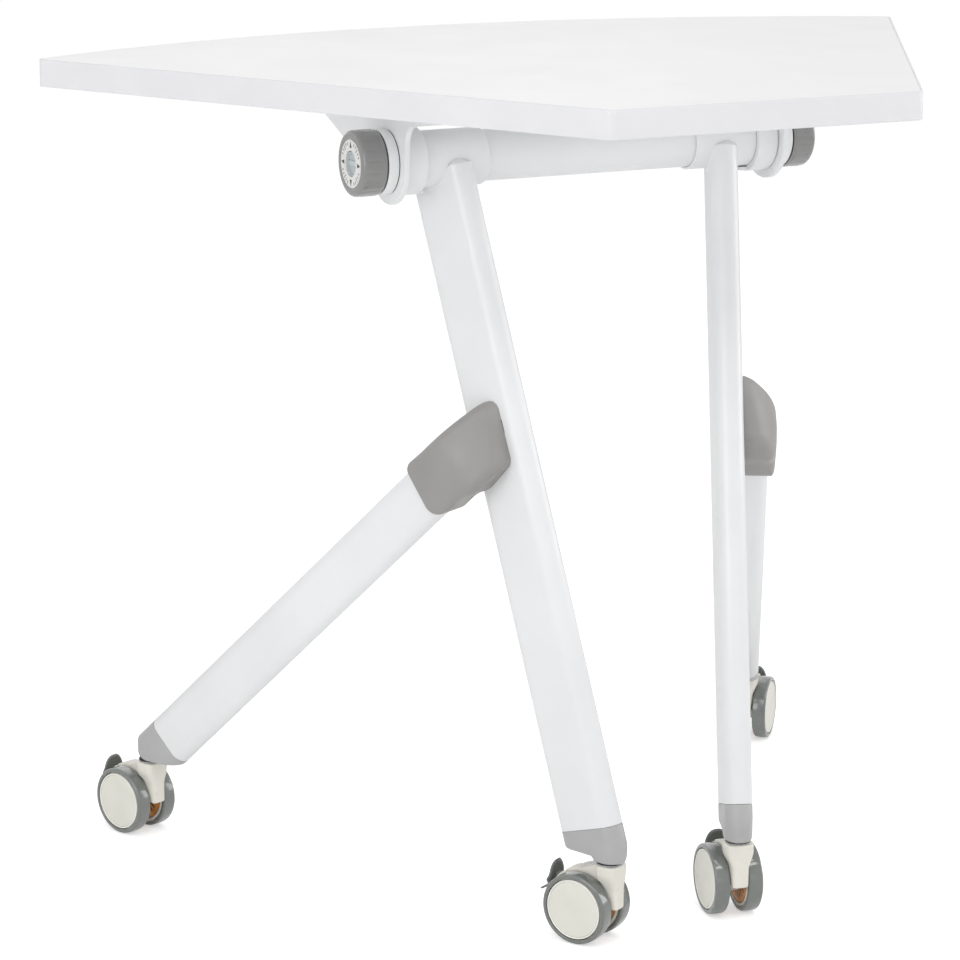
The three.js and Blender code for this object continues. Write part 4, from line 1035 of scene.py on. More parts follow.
@dataclass(frozen=True)
class ForkedLeg:
    """A forked leg: front and rear flat oval tubes, the joint cover and the foot caps."""

    beam: Beam
    spread: float = 140.0
    plan_angle: float = 22.0
    width: float = 64.0
    thickness: float = 25.0
    reach: float = 191.0
    top_cut: float = 10.0
    weld: float = 1.2
    top_bevel: float = 0.75
    rear_plan_angle: float = 30.0
    rear_width: float = 50.0
    rear_thickness: float = 25.0
    rear_reach: float = 378.9
    rear_top: float = 14.0
    joint_height: float = 434.8
    lap_gap: float = 2.0
    foot_height: float = 73.0
    cover_mouth: float = 80.0
    cover_mouth_slant: float = 8.0
    cover_wall: float = 2.6
    cover_crown: float = 6.0
    cover_heel: float = 27.0
    cover_heel_slant: float = 23.0
    cover_heel_edge: float = 3.0
    cover_shoulder: float = 9.0
    cover_drop: float = 5.0
    cover_rim: float = 9.0
    front_cap_height: float = 28.5
    front_cap_nose: float = 17.0
    front_cap_blend: float = 12.0
    front_cap_heel: float = 6.5
    front_cap_step: float = 7.0
    sole_lift: float = 3.0
    boss_radius: float = 13.0
    stem_ahead: float = 11.0
    rear_cap_length: float = 36.7
    rear_cap_back: float = 11.5
    rear_cap_blend: float = 14.0
    cap_rim: float = 1.3
    cap_bulge: float = 1.96
    cover_roof_blend: float = 24.0
    cover_low_share: float = 0.72
    cover_mouth_flat: Pair = (48.0, 80.0)
    cover_mouth_ease: float = 0.75
    cover_rise: float = 1.2
    slot_place: float = 0.42
    slot_half: float = 7.5
    slot_depth: Pair = (-0.3, 2.0)
    slot_heights: Pair = (0.9, 2.6)
    end_ease: float = 0.3
    weld_reach: float = 4.5
    cope_reach: float = 8.0

    def turn(self, angle: float) -> tuple[Array, Array]:
        """The leg's level directions for a plan angle.

        Args:
            angle: Degrees from the depth axis.

        Returns:
            The direction towards the back and the outward normal.
        """
        sign, swing = self.beam.side.value, math.radians(angle)
        ahead, aside = math.cos(swing), math.sin(swing)
        return vec(sign * aside, ahead, 0), vec(sign * ahead, -aside, 0)

    @property
    def lean(self) -> float:
        """The front leg's angle from upright."""
        return math.atan2(self.reach, self.beam.height - self.foot_height)

    @property
    def front_axes(self) -> Axes:
        """X back across the front leg, Y outwards, Z up along it, from its foot."""
        back, out = self.turn(self.plan_angle)
        foot = vec(self.beam.side.value * self.spread, 0, self.foot_height) - self.reach * back
        up = math.sin(self.lean) * back + math.cos(self.lean) * UP
        across = math.cos(self.lean) * back - math.sin(self.lean) * UP
        return Axes(foot, across, out, up)

    @property
    def rear_axes(self) -> Axes:
        """X up across the rear leg, Y outwards, Z down along it, from the joint."""
        back, out = self.turn(self.plan_angle)
        drop = self.beam.height - self.joint_height
        ahead = self.reach * drop / (self.beam.height - self.foot_height)
        lap = (self.thickness + self.rear_thickness) / 2 + self.lap_gap
        joint = vec(self.beam.side.value * self.spread, 0, self.joint_height) - ahead * back + lap * out
        level, outward = self.turn(self.rear_plan_angle)
        return Axes(joint, math.sin(self.slope) * level + math.cos(self.slope) * UP, outward,
                    math.cos(self.slope) * level - math.sin(self.slope) * UP)

    @property
    def slope(self) -> float:
        """The rear leg's angle below level."""
        return math.atan2(self.joint_height - self.foot_height, self.rear_reach)

    @property
    def front_length(self) -> float:
        """The front leg's length from its foot to the beam's axis."""
        return math.hypot(self.beam.height - self.foot_height, self.reach)

    @property
    def rear_length(self) -> float:
        """The rear leg's length from the joint to the foot."""
        return math.hypot(self.joint_height - self.foot_height, self.rear_reach)

    @property
    def front_seam(self) -> float:
        """The front cap's seam, up along the leg."""
        return self.front_cap_height / math.cos(self.lean)

    @property
    def rear_seam(self) -> float:
        """The rear cap's seam, down along the leg."""
        return self.rear_length - self.rear_cap_length

    def stem(self, front: bool) -> Array:
        """Where a caster's stem stands on the floor."""
        if front:
            back, _ = self.turn(self.plan_angle)
            at = self.front_axes.origin - self.stem_ahead * back
        else:
            at = self.rear_axes.origin + self.rear_length * self.rear_axes.z
        return at * [1, 1, 0]

    def saddle(self, section: Array) -> Array:
        """How far each line of the front leg runs before it meets the sleeve.

        Each line starts at a point of the section and runs up the leg; the distance is the nearer
        root of its crossing with a cylinder about the beam, or infinite where it passes by.

        Args:
            section: Rows of points of the leg's section.

        Returns:
            One distance for each point.
        """
        axes, radius = self.front_axes, self.beam.sleeve_radius + 0.05
        flat = np.concatenate([section, np.zeros((*section.shape[:-1], 1))], -1)
        offset = (axes.place(flat) - vec(0, 0, self.beam.height))[..., 1:]
        line = axes.z[1:]
        a, b = line @ line, offset @ line
        inside = b * b - a * ((offset**2).sum(-1) - radius**2)
        return np.where(inside > 0, (-b - np.sqrt(np.maximum(inside, 0))) / a, np.inf)

    def front_tube(self) -> Mesh:
        """The front leg: its section carried up to the sleeve, where it ends in a coped, welded edge.

        Each line runs to the sleeve or to a level cut, whichever comes first. Over the last few
        millimetres before the sleeve the section swells by a hollow curve, which is the weld's
        fillet. Rows of smaller sections close the end, and climb by an even bevel up to the sleeve.

        Returns:
            The piece's closed surface.
        """
        cut = self.front_length - self.top_cut
        back_off = np.array([40.0, 32.0, 26.0, 21.0, 17.0, 13.5, 10.5, 8.0,
                             6.0, 4.3, 2.9, 1.8, 0.9, 0.3, 0.0])
        section = oval(self.width, self.thickness, 0.0, 20, 45)
        coped = np.clip((cut - np.minimum(self.saddle(section), cut)) / self.cope_reach, 0, 1)
        swell = self.weld * np.clip(1 - back_off / self.weld_reach, 0, 1) ** 2
        normal = oval(self.width, self.thickness, -1.0, 20, 45) - section
        rim = section + (swell[:, None] * coped)[..., None] * normal
        share = np.array([0.985, 0.965, 0.94, 0.91, 0.87, 0.82, 0.75, 0.6, 0.4, 0.2, 0.03])
        shank = np.stack([oval(self.width, self.thickness, self.end_ease, 20, 45), section, section])
        rows = np.concatenate([shank, rim, share[:, None, None] * rim[-1]])
        below = np.concatenate([np.zeros(len(shank)), back_off, np.zeros(len(share))])[:, None]
        bevel = self.top_bevel * (1 - share) * self.width / 2
        stop = cut + np.concatenate([np.zeros(len(shank) + len(back_off)), bevel])[:, None]
        height = np.minimum(self.saddle(rows), stop) - below
        start = self.front_seam + FIT.seat
        height[:len(shank)] = np.array([start, start + 0.5, 0.5 * (start + cut)])[:, None]
        return grid(self.front_axes.place(raised(rows, height)))

    def rear_tube(self) -> Mesh:
        """The rear leg: its section carried from inside the cover to the cap's seam.

        Returns:
            The piece's closed surface.
        """
        at = np.array([self.rear_top, self.cover_mouth, 200, self.rear_seam - 0.8, self.rear_seam - FIT.seat])
        rows = oval(self.rear_width, self.rear_thickness, np.array([0, 0, 0, 0, self.end_ease]))
        return grid(self.rear_axes.place(raised(rows, at[:, None])))

    @property
    def cover_inner(self) -> float:
        """The cover's inner edge, outwards from the rear leg's middle."""
        return -self.rear_thickness / 2 - self.cover_wall

    def cover_corners(self) -> Array:
        """The cover's corners down the rear leg and up across it, anticlockwise, with their rounds.

        Returns:
            Rows of (down, up, radius).
        """
        half = self.rear_width / 2 + self.cover_wall
        low, mouth, heel = -half - self.cover_drop, self.cover_mouth, self.cover_heel
        return np.array([
            (mouth, -half, 14), (mouth - self.cover_mouth_slant, half, 9), (9 - heel, half, 22),
            (-heel, half - 9, 10), (self.cover_heel_slant - heel, low + self.cover_drop / 2, 9),
            (0.4 * mouth, low, 30), (0.58 * mouth, -half, 30),
        ])

    def cover_roof(self, down: Array) -> Array:
        """The cover's outer face down the leg: the soft lower of a flat crown and the heel's slope.

        Args:
            down: Places down the rear leg.

        Returns:
            Heights outwards from the leg's middle.
        """
        outer, foot = self.rear_thickness / 2 + self.cover_crown, self.cover_inner + self.cover_heel_edge
        slope = foot + (down + self.cover_heel) * (outer - foot) / (self.cover_shoulder + self.cover_heel)
        return soft_lower(np.full_like(slope, outer), slope, self.cover_roof_blend)

    def cover(self) -> Mesh:
        """The joint cover: its outline drawn outwards to a broad rounded rim under the roof.

        The rim is a quarter ellipse, flatter where the roof is low and at the mouth. Past it the
        loops shrink towards the middle and rise by a slight crown.

        Returns:
            The piece's closed surface.
        """
        corners, inner = self.cover_corners(), self.cover_inner
        turn = np.linspace(0, math.pi / 2, 11)
        inset = np.concatenate([[0.6, 0.0], self.cover_rim * (1 - np.cos(turn))])
        loops = np.stack([fillet(drawn_in(corners, i), 10, 16) for i in inset])
        middle = loops[-1].mean(0)
        share = np.array([0.9, 0.75, 0.55, 0.35, 0.15, 0.02])
        loops = np.concatenate([loops, middle + share[:, None, None] * (loops[-1] - middle)])
        roof = self.cover_roof(loops[..., 0])
        flatter = 1 - self.cover_mouth_ease * smooth_step(loops[..., 0], *self.cover_mouth_flat)
        tall = np.minimum(self.cover_rim, self.cover_low_share * (roof - inner)) * flatter
        drop = np.concatenate([[1, 1], 1 - np.sin(turn), np.zeros(len(share))])[:, None]
        rise = np.concatenate([np.zeros(len(inset)), 1 - share**2])[:, None]
        height = roof - tall * drop + self.cover_rise * rise
        height[0], height[1] = inner, inner + 0.6
        return grid(self.rear_axes.place(np.stack([loops[..., 1], height, loops[..., 0]], -1)))

    def cover_slot(self) -> Mesh:
        """A near-black thin strip let into the cover's slanted heel edge: a painted shadow gap.

        Returns:
            The piece's closed surface.
        """
        corners = self.cover_corners()
        start, end = corners[3, :2], corners[4, :2]
        along = (end - start) / np.linalg.norm(end - start)
        inward = np.array([-along[1], along[0]])
        middle = start + self.slot_place * (end - start)
        strip = box((-self.slot_half, self.slot_half), self.slot_depth, 4 * [0.2])
        plan = Axes(self.rear_axes.origin, self.rear_axes.z, self.rear_axes.x, self.rear_axes.y)
        ends = [(*(middle + a * along + b * inward), size) for a, b, size in strip]
        low, high = (self.cover_inner + height for height in self.slot_heights)
        return slab(ends, low, high, plan, 0.1, 3)

    def cap(self, width: float, thickness: float, seam: float, end: Callable[[Array, Array], Array],
            axes: Axes) -> Mesh:
        """A foot cap: the leg's section carried on to a shaped end with a rounded rim.

        Args:
            width: The section's width.
            thickness: The section's thickness.
            seam: Where the cap meets the tube, along the axes' Z.
            end: Gives where a line of the cap ends, from its places across the leg and outwards.
            axes: The leg's axes.

        Returns:
            The closed surface.
        """
        rim = self.cap_rim
        turn = np.linspace(0, math.pi / 2, 6)[1:]
        deep = np.array([2.0, 2.8, 3.8, 5.0, 6.4, 8.0, 10.0, thickness / 2 - 0.02])
        inset = np.concatenate([[0.5, 0.15, 0, 0], rim * (1 - np.cos(turn)), deep])
        loops = oval(width, thickness, inset, 20, 60)
        stop = end(loops[..., 0], loops[..., 1])
        way = np.sign(stop[0, 0] - seam)
        lift = np.concatenate([[0, 0, 0, rim], rim * (1 - np.sin(turn)), np.zeros(len(deep))])
        height = stop - way * lift[:, None]
        height[:3] = (seam + way * np.array([0, 0.15, 0.5]))[:, None]
        return grid(axes.place(raised(loops, height)))

    def bulge(self, out: Array, thickness: float) -> Array:
        """How far a cap's end stands out as a share: an ellipse in plan, a little wider than the leg."""
        return np.sqrt(np.clip(1 - (self.cap_bulge * out / thickness) ** 2, 0, 1))

    def front_sole(self, across: Array, out: Array) -> Array:
        """Where the front cap ends: level, with a round boss about the stem and a raised round heel.

        The heel rises by a quarter circle. Behind the boss the sole steps up, by an S-curve of the
        distance from the stem. Ahead of it the sole turns softly into an upright nose, an ellipse in plan.

        Args:
            across: Places across the leg, from its middle towards the back.
            out: Places outwards from its middle.

        Returns:
            The ends along the leg.
        """
        heel = self.front_cap_heel
        far = np.clip(heel - (self.width / 2 - across), 0, heel)
        behind = np.maximum(across / math.cos(self.lean) + self.stem_ahead, 0)
        step = smooth_step(np.hypot(behind, out), self.boss_radius, self.boss_radius + 1.2)
        rise = heel - np.sqrt(heel**2 - far**2) + self.sole_lift
        rise = rise + (self.front_cap_step - self.sole_lift) * step
        sole = (rise + across * math.sin(self.lean)) / math.cos(self.lean)
        reach = self.front_cap_nose * self.bulge(out, self.thickness)
        front = (-self.stem_ahead - reach - across * math.cos(self.lean)) / math.sin(self.lean)
        return -soft_lower(-sole, -front, self.front_cap_blend)

    def rear_sole(self, up: Array, out: Array) -> Array:
        """Where the rear cap ends: the soft lower of an upright back, round in plan, and a level sole.

        Args:
            up: Places up across the leg.
            out: Places outwards from its middle.

        Returns:
            The ends along the leg.
        """
        reach = self.rear_cap_back * self.bulge(out, self.rear_thickness)
        back = (reach - up * math.sin(self.slope)) / math.cos(self.slope)
        sole = (up * math.cos(self.slope) - self.sole_lift) / math.sin(self.slope)
        return self.rear_length + soft_lower(sole, back, self.rear_cap_blend)

    def build(self, palette: Palette) -> None:
        """Make the leg's pieces.

        Args:
            palette: The finishes, which make the pieces.
        """
        word = self.beam.side.word
        front_cap = self.cap(self.width, self.thickness, self.front_seam, self.front_sole, self.front_axes)
        rear_cap = self.cap(self.rear_width, self.rear_thickness, self.rear_seam, self.rear_sole,
                            self.rear_axes)
        palette.piece("front_tube", self.front_tube(), Paint.STEEL, "base", "front_leg", word, 50)
        palette.piece("rear_tube", self.rear_tube(), Paint.STEEL, "base", "rear_leg", word)
        palette.piece("cover", self.cover(), Paint.COVER, "base", "joint_cover", word, 60)
        # A near-black strip at the cover's heel: painted shadow gap.
        palette.piece("cover_slot", self.cover_slot(), Paint.FIBRE, "base", "", word)
        palette.piece("front_cap", front_cap, Paint.CAP, "base", "foot_cap_front", word, 50)
        palette.piece("rear_cap", rear_cap, Paint.CAP, "base", "foot_cap_rear", word, 50)


@dataclass(frozen=True)
class Caster:
    """A braked twin wheel caster; its own X trails, its Y is the axle and its Z the stem."""

    corner: Corner
    foot: Place
    wheel_radius: float = 32.0
    wheel_width: float = 14.0
    spacing: float = 17.0
    seat_radius: float = 27.8
    shoulder: float = 4.0
    dish_radius: float = 24.5
    dish_depth: float = 2.6
    core_hub: float = 9.0
    lip_width: float = 1.5
    joint: float = 0.7
    axle_radius: float = 4.0
    axle_cover: float = 3.0
    ring_radius: float = 23.9
    ring_slots: int = 22
    trail: float = 23.0
    neck_rise: float = 9.0
    roof_rise: float = 2.0
    square: float = 0.42
    hood_half: float = 8.0
    neck_front: float = 12.0
    neck_half: float = 12.5
    neck_low: float = 33.0
    neck_shoulder: Pair = (49.0, 66.0)
    clearance: float = 1.2
    axle_boss: float = 13.0
    tail_angle: float = 14.0
    stem_radius: float = 5.5
    stem_in_cap: float = 20.0
    stem_in_hood: float = 16.0
    washer_radius: float = 11.5
    washer_thickness: float = 2.4
    pedal_gap: float = 4.0
    pedal_thickness: float = 4.0
    pedal_low: float = 4.0
    pedal_high: float = 49.0
    lobe_half: float = 11.5
    lobe_flare: float = 8.0
    toe_half: float = 4.5
    toe_flare: float = 10.5
    pivot_angle: float = 30.0
    pivot_depth: float = 4.0
    pivot_radius: float = 2.5
    tongue_half: float = 4.0
    ring_slot_middle: float = 15.2
    ring_slot_half: float = 4.6
    ring_span: Pair = (0.9, 0.3)
    dish_hollow: float = 0.8
    lobe_step: Pair = (6.0, 15.0)
    lobe_bend: Pair = (32.0, 52.0)
    toe_bend: Pair = (1.0, 16.0)
    washer_share: float = 0.4

    @property
    def axes(self) -> Axes:
        """The caster's own axes on the floor below its stem."""
        swing = math.radians(self.corner.value)
        return Axes(np.array(self.foot), vec(math.cos(swing), math.sin(swing), 0),
                    vec(-math.sin(swing), math.cos(swing), 0), UP)

    @property
    def top(self) -> float:
        """The neck's upper face."""
        return 2 * self.wheel_radius + self.neck_rise

    @property
    def side_axes(self) -> Axes:
        """The side view: X along the trail and Y up, drawn along the axle, from below the stem."""
        axes = self.axes
        return Axes(axes.origin, axes.x, axes.z, -axes.y)

    def axle_axes(self, sign: int) -> Axes:
        """Z out along the axle on one side, from the middle of that side's wheel.

        Args:
            sign: 1 or -1, for the wheel on either side.

        Returns:
            The axes.
        """
        axes = self.axes
        middle = axes.place(vec(self.trail, sign * (self.spacing + self.wheel_width) / 2, self.wheel_radius))
        return Axes(middle, axes.x, sign * -axes.z, sign * axes.y)

    def polar(self, radius: Array | float, degrees: Array | float) -> Array:
        """Points of the side view about the axle."""
        angle = np.radians(degrees)
        return np.stack([self.trail + radius * np.cos(angle), self.wheel_radius + radius * np.sin(angle)], -1)

    def tread(self, sign: int) -> Mesh:
        """A soft tread: full rounded shoulders over a barely crowned running band."""
        half, seat, edge = self.wheel_width / 2, self.seat_radius, self.wheel_radius - 0.3
        return turned([(seat, -half, 0.3), (edge, -half, self.shoulder), (self.wheel_radius, 0, 60),
                       (edge, half, self.shoulder), (seat, half, 0.6)], self.axle_axes(sign), 128, 8)

    def core(self, sign: int) -> Mesh:
        """A wheel core: a disc with a groove for its lip outside, dished inside with a hub for the axle.

        Args:
            sign: 1 or -1, for the wheel on either side.

        Returns:
            The piece's closed surface.
        """
        half, rim = self.wheel_width / 2, self.seat_radius - FIT.seat
        bore, dish, floor = self.axle_radius + FIT.seat, self.dish_depth - half, half - 0.6
        deep, hub, lip = half - self.axle_cover, self.core_hub, rim - self.joint - self.lip_width
        return turned([(0, deep, 0), (bore, deep, 0.2), (bore, -half, 0.3), (hub, -half, 0.6),
                       (hub, dish, 0.5), (self.dish_radius, dish, 0.5), (self.dish_radius + 0.4, -half, 0.5),
                       (rim - 0.2, -half, 0.4), (rim, half - 2.6, 0.1), (lip, half - 2.4, 0.1),
                       (lip - 0.1, floor, 0.2), (0, floor, 0)], self.axle_axes(sign), 112)

    def lip(self, sign: int) -> Mesh:
        """The disc's raised lip, a rounded bead short of the tread by a dark joint.

        Args:
            sign: 1 or -1, for the wheel on either side.

        Returns:
            The piece's closed surface.
        """
        half, outer = self.wheel_width / 2, self.seat_radius - FIT.seat - self.joint
        radii = (outer - self.lip_width + 0.1, outer)
        return hoop(radii, (half - 2.3, half), (0.1, 0.1, 0.6, 0.6), self.axle_axes(sign), 128)

    def brake_ring(self, sign: int) -> Mesh:
        """The brake ring in the core's dish: a thin ring whose inner edge is cut into long slots.

        The inner radius steps between two values by a clipped cosine of the angle.

        Args:
            sign: 1 or -1, for the wheel on either side.

        Returns:
            The piece's closed surface.
        """
        angle = once_round(12 * self.ring_slots)
        steep = np.clip(3 * np.cos(self.ring_slots * angle), -1, 1)
        slots = self.ring_slot_middle + self.ring_slot_half * steep
        outer = np.full_like(angle, self.ring_radius)
        low, high = (depth - self.wheel_width / 2 for depth in self.ring_span)
        rows = [(slots, low), (outer, low), (outer, high + 0.2), (outer - 0.2, high), (slots, high)]
        points = np.stack([np.stack([r * np.cos(angle), r * np.sin(angle), np.full_like(angle, h)], -1)
                           for r, h in rows])
        return grid(self.axle_axes(sign).place(points), wrap_rows=True)

    def brake_backing(self, sign: int) -> Mesh:
        """A near-black ring behind the brake ring's slots: painted shade seen through them.

        Args:
            sign: 1 or -1, for the wheel on either side.

        Returns:
            The piece's closed surface.
        """
        radii, half = (self.core_hub + 0.3, self.ring_radius - 0.4), self.wheel_width / 2
        span = (self.dish_depth - half - 0.1, 1.0 - half)
        return hoop(radii, span, (0.1, 0.1, 0.2, 0.2), self.axle_axes(sign), 64)

    def neck(self) -> Mesh:
        """The hood's neck: a round front with shoulders, cut back for the wheels.

        At each height the half outline is a squarish half oval up to the wheels' clearance circle,
        then a step in to the web's side and a straight run back. Its half width follows an S-curve.

        Returns:
            The piece's closed surface.
        """
        low, top = self.neck_low, self.top
        z = np.concatenate([[low, low + 0.3, low + 1.0], np.linspace(low + 2, top - 1.6, 44),
                            [top - 0.9, top - 0.3, top]])
        ease = np.concatenate([[1.2, 0.5, 0.1], np.zeros(44), [0.15, 0.55, 1.3]])
        half = self.hood_half + (self.neck_half - self.hood_half) * smooth_step(z, *self.neck_shoulder) - ease
        front = self.neck_front - ease
        clear = self.wheel_radius + self.clearance
        drop = np.clip(clear**2 - (z - self.wheel_radius) ** 2, 0, None)
        edge = np.clip(self.trail - np.sqrt(drop), -front, 5.0)
        reach = -edge / front
        stop = np.arccos(np.clip(signed_power(reach, 1 / self.square), -1, 1))
        turn = np.linspace(0, 1, 41)[None, :] * stop[:, None]
        x = -front[:, None] * signed_power(np.cos(turn), self.square)
        y = half[:, None] * np.abs(np.sin(turn)) ** self.square
        side = np.minimum(y[:, -1], self.hood_half - ease)
        x = np.concatenate([x, np.stack([edge, np.full_like(edge, 8.0)], -1)], 1)
        y = np.concatenate([y, np.stack([side, side], -1)], 1)
        x, y = np.concatenate([x, x[:, :0:-1]], 1), np.concatenate([y, -y[:, :0:-1]], 1)
        return grid(self.axes.place(np.stack([x, y, np.broadcast_to(z[:, None], x.shape)], -1)))

    def web(self) -> Mesh:
        """The web between the wheels with two cheeks at its tail, which hold the pedal.

        Returns:
            The piece's closed surfaces.
        """
        back = self.wheel_radius + self.roof_rise
        roof = [(*p, 3) for p in self.polar(back, np.arange(58, 95, 8.0))]
        front = [(9.0, self.top - 0.6, 5), (2.0, self.top - 0.6, 0.5), (2.0, self.neck_low + 1, 1)]
        boss = [(*p, 3) for p in self.polar(self.axle_boss, np.arange(-150, -20, 20.0))]
        tail_x = self.polar(self.wheel_radius - self.pivot_depth, self.pivot_angle)[0] - 9
        middle = front + boss + [(tail_x, 27, 2), (tail_x, float(roof[0][1]) - 0.4, 1.0)] + roof
        main = slab(middle, -self.hood_half, self.hood_half, self.side_axes, 1.4, 4)
        tail = [(*p, 2) for p in self.polar(back, np.arange(self.tail_angle, 62, 8.0))]
        cheek = [(tail_x - 2, 28, 2), *tail, (tail_x - 2, 58, 1)]
        sides = [sorted((s * (self.tongue_half + 0.4), s * self.hood_half)) for s in (-1, 1)]
        return joined(main, *[slab(cheek, *side, self.side_axes, 1.2, 4) for side in sides])

    def pedal(self) -> Mesh:
        """The brake pedal: a broad round lobe above, a narrow toe below, both bent away from the wheels.

        Rows run along the plate by angle about the axle. The half width steps from the toe to the
        lobe by an S-curve and closes at both ends as a half circle; the plate's distance from the
        axle grows towards each end, and its section is a flat rounded oval with a shallow dish.

        Returns:
            The piece's closed surfaces.
        """
        share = 0.5 - 0.5 * np.cos(np.linspace(0.02, math.pi - 0.02, 64))
        angle = self.pedal_low + (self.pedal_high - self.pedal_low) * share
        along = np.radians(angle - self.pedal_low) * (self.wheel_radius + self.pedal_gap)
        body = self.toe_half + (self.lobe_half - self.toe_half) * smooth_step(along, *self.lobe_step)
        lobe, toe = [np.sqrt(np.clip(1 - np.clip(1 - (left + 0.2) / end, 0, 1) ** 2, 0.004, 1))
                     for left, end in ((along[-1] - along, self.lobe_half), (along, self.toe_half))]
        half = body * lobe * toe
        thick = self.pedal_thickness * (0.35 + 0.65 * np.minimum(np.sqrt(lobe), toe))
        flare = self.lobe_flare * smooth_step(angle, *self.lobe_bend)
        flare = flare + self.toe_flare * (1 - smooth_step(angle, *self.toe_bend))
        inner = self.wheel_radius + self.pedal_gap + flare
        turn = once_round(44)
        across = signed_power(np.cos(turn), 0.4)
        through = 0.5 + 0.5 * signed_power(np.sin(turn), 0.6)
        dish = self.dish_hollow * np.where(through > 0.5, 1 - across**2, 0)[None, :] * lobe[:, None]
        flat = self.polar(inner[:, None] + thick[:, None] * through - dish, angle[:, None])
        points = np.stack([flat[..., 0], half[:, None] * across, flat[..., 1]], -1)
        near, far = self.wheel_radius - self.pivot_depth - 5, self.wheel_radius + self.pedal_gap + 1.5
        tongue = [(*self.polar(r, self.pivot_angle + a), k) for r, a, k in
                  ((near, -8, 2), (far, -8, 0.3), (far, 8, 0.3), (near, 8, 2))]
        bar = slab(tongue, -self.tongue_half, self.tongue_half, self.side_axes, 0.6, 4)
        return joined(grid(self.axes.place(points)), bar, self.trunnions())

    def trunnions(self) -> Mesh:
        """The pedal's trunnions: a plain pin along the axle's direction.

        Returns:
            The piece's closed surface.
        """
        at, half = self.polar(self.wheel_radius - self.pivot_depth, self.pivot_angle), self.hood_half - 0.2
        axes = self.axes
        own = Axes(axes.place(vec(at[0], 0, at[1])), axes.z, axes.x, axes.y)
        return hoop((0, self.pivot_radius), (-half, half), (0, 0.3, 0.3, 0), own, 32)

    def stem(self) -> Mesh:
        """The stem with its swivel washer.

        Returns:
            The piece's closed surface.
        """
        low, high = self.top + FIT.seat, self.top + FIT.seat + self.washer_share * self.washer_thickness
        foot, head = self.top - self.stem_in_hood, self.top + self.washer_thickness + self.stem_in_cap
        stem, washer = self.stem_radius, self.washer_radius
        return turned([(0, foot, 0), (stem, foot, 0.4), (stem, low, 0.2), (washer, low, 0.3),
                       (washer, high, 0.3), (stem, high, 0.2), (stem, head, 0.5), (0, head, 0)],
                      self.axes, 64)

    def seal(self) -> Mesh:
        """A near-black ring between the swivel washer and the foot cap: painted shade in the gap there.

        Returns:
            The piece's closed surface.
        """
        radii, low = (self.stem_radius + 0.1, self.washer_radius - 0.4), self.top + FIT.seat
        span = (low + self.washer_share * self.washer_thickness + 0.05, low + self.washer_thickness)
        return hoop(radii, span, (0.1, 0.1, 0.2, 0.1), self.axes, 64)

    def build(self, palette: Palette) -> None:
        """Make the caster's pieces.

        Args:
            palette: The finishes, which make the pieces.
        """
        word, hood = self.corner.word, joined(self.neck(), self.web())
        palette.piece("swivel_stem", self.stem(), Paint.ZINC, "base", "caster_stem", word)
        # A near-black ring under the foot cap: painted shade in the swivel's gap.
        palette.piece("swivel_seal", self.seal(), Paint.FIBRE, "base", "", word)
        palette.piece("hood", hood, Paint.HOOD, f"caster_{word}", "caster_hood", word)
        palette.piece("pedal", self.pedal(), Paint.PEDAL, f"pedal_{word}", "brake_pedal", word, 50)
        palette.dress(f"caster_axle_{word}", Paint.ZINC)
        for letter, sign in (("a", 1), ("b", -1)):
            own = f"{word}_{letter}"
            wheel = f"wheel_{own}"
            palette.piece("tread", self.tread(sign), Paint.TREAD, wheel, "wheel_tread", own, 60)
            palette.piece("core", self.core(sign), Paint.CORE, wheel, "wheel_core", own)
            # The lip's whiter colour is a painted highlight round the disc's edge.
            palette.piece("core_lip", self.lip(sign), Paint.LIP, wheel, "", own)
            palette.piece("brake_ring", self.brake_ring(sign), Paint.BRAKE, wheel, "", own)
            # A near-black ring behind the brake slots: painted shade.
            palette.piece("brake_backing", self.brake_backing(sign), Paint.FIBRE, wheel, "", own)


# The studio


@dataclass(frozen=True)
class Lamp:
    """A soft rectangular lamp: its place in metres, width, height and power in watts."""

    name: str
    at: Place
    width: float
    height: float
    power: float
    aim: Place = (0.0, 0.0, 0.45)

    def build(self) -> None:
        """Hang the lamp, aimed at the table."""
        data = bpy.data.lights.new(self.name, "AREA")
        data.shape = "RECTANGLE"
        data.size, data.size_y, data.energy = self.width, self.height, self.power
        lamp = linked(self.name, data)
        lamp.location = self.at
        lamp.rotation_euler = (Vector(self.aim) - Vector(self.at)).to_track_quat("-Z", "Y").to_euler()


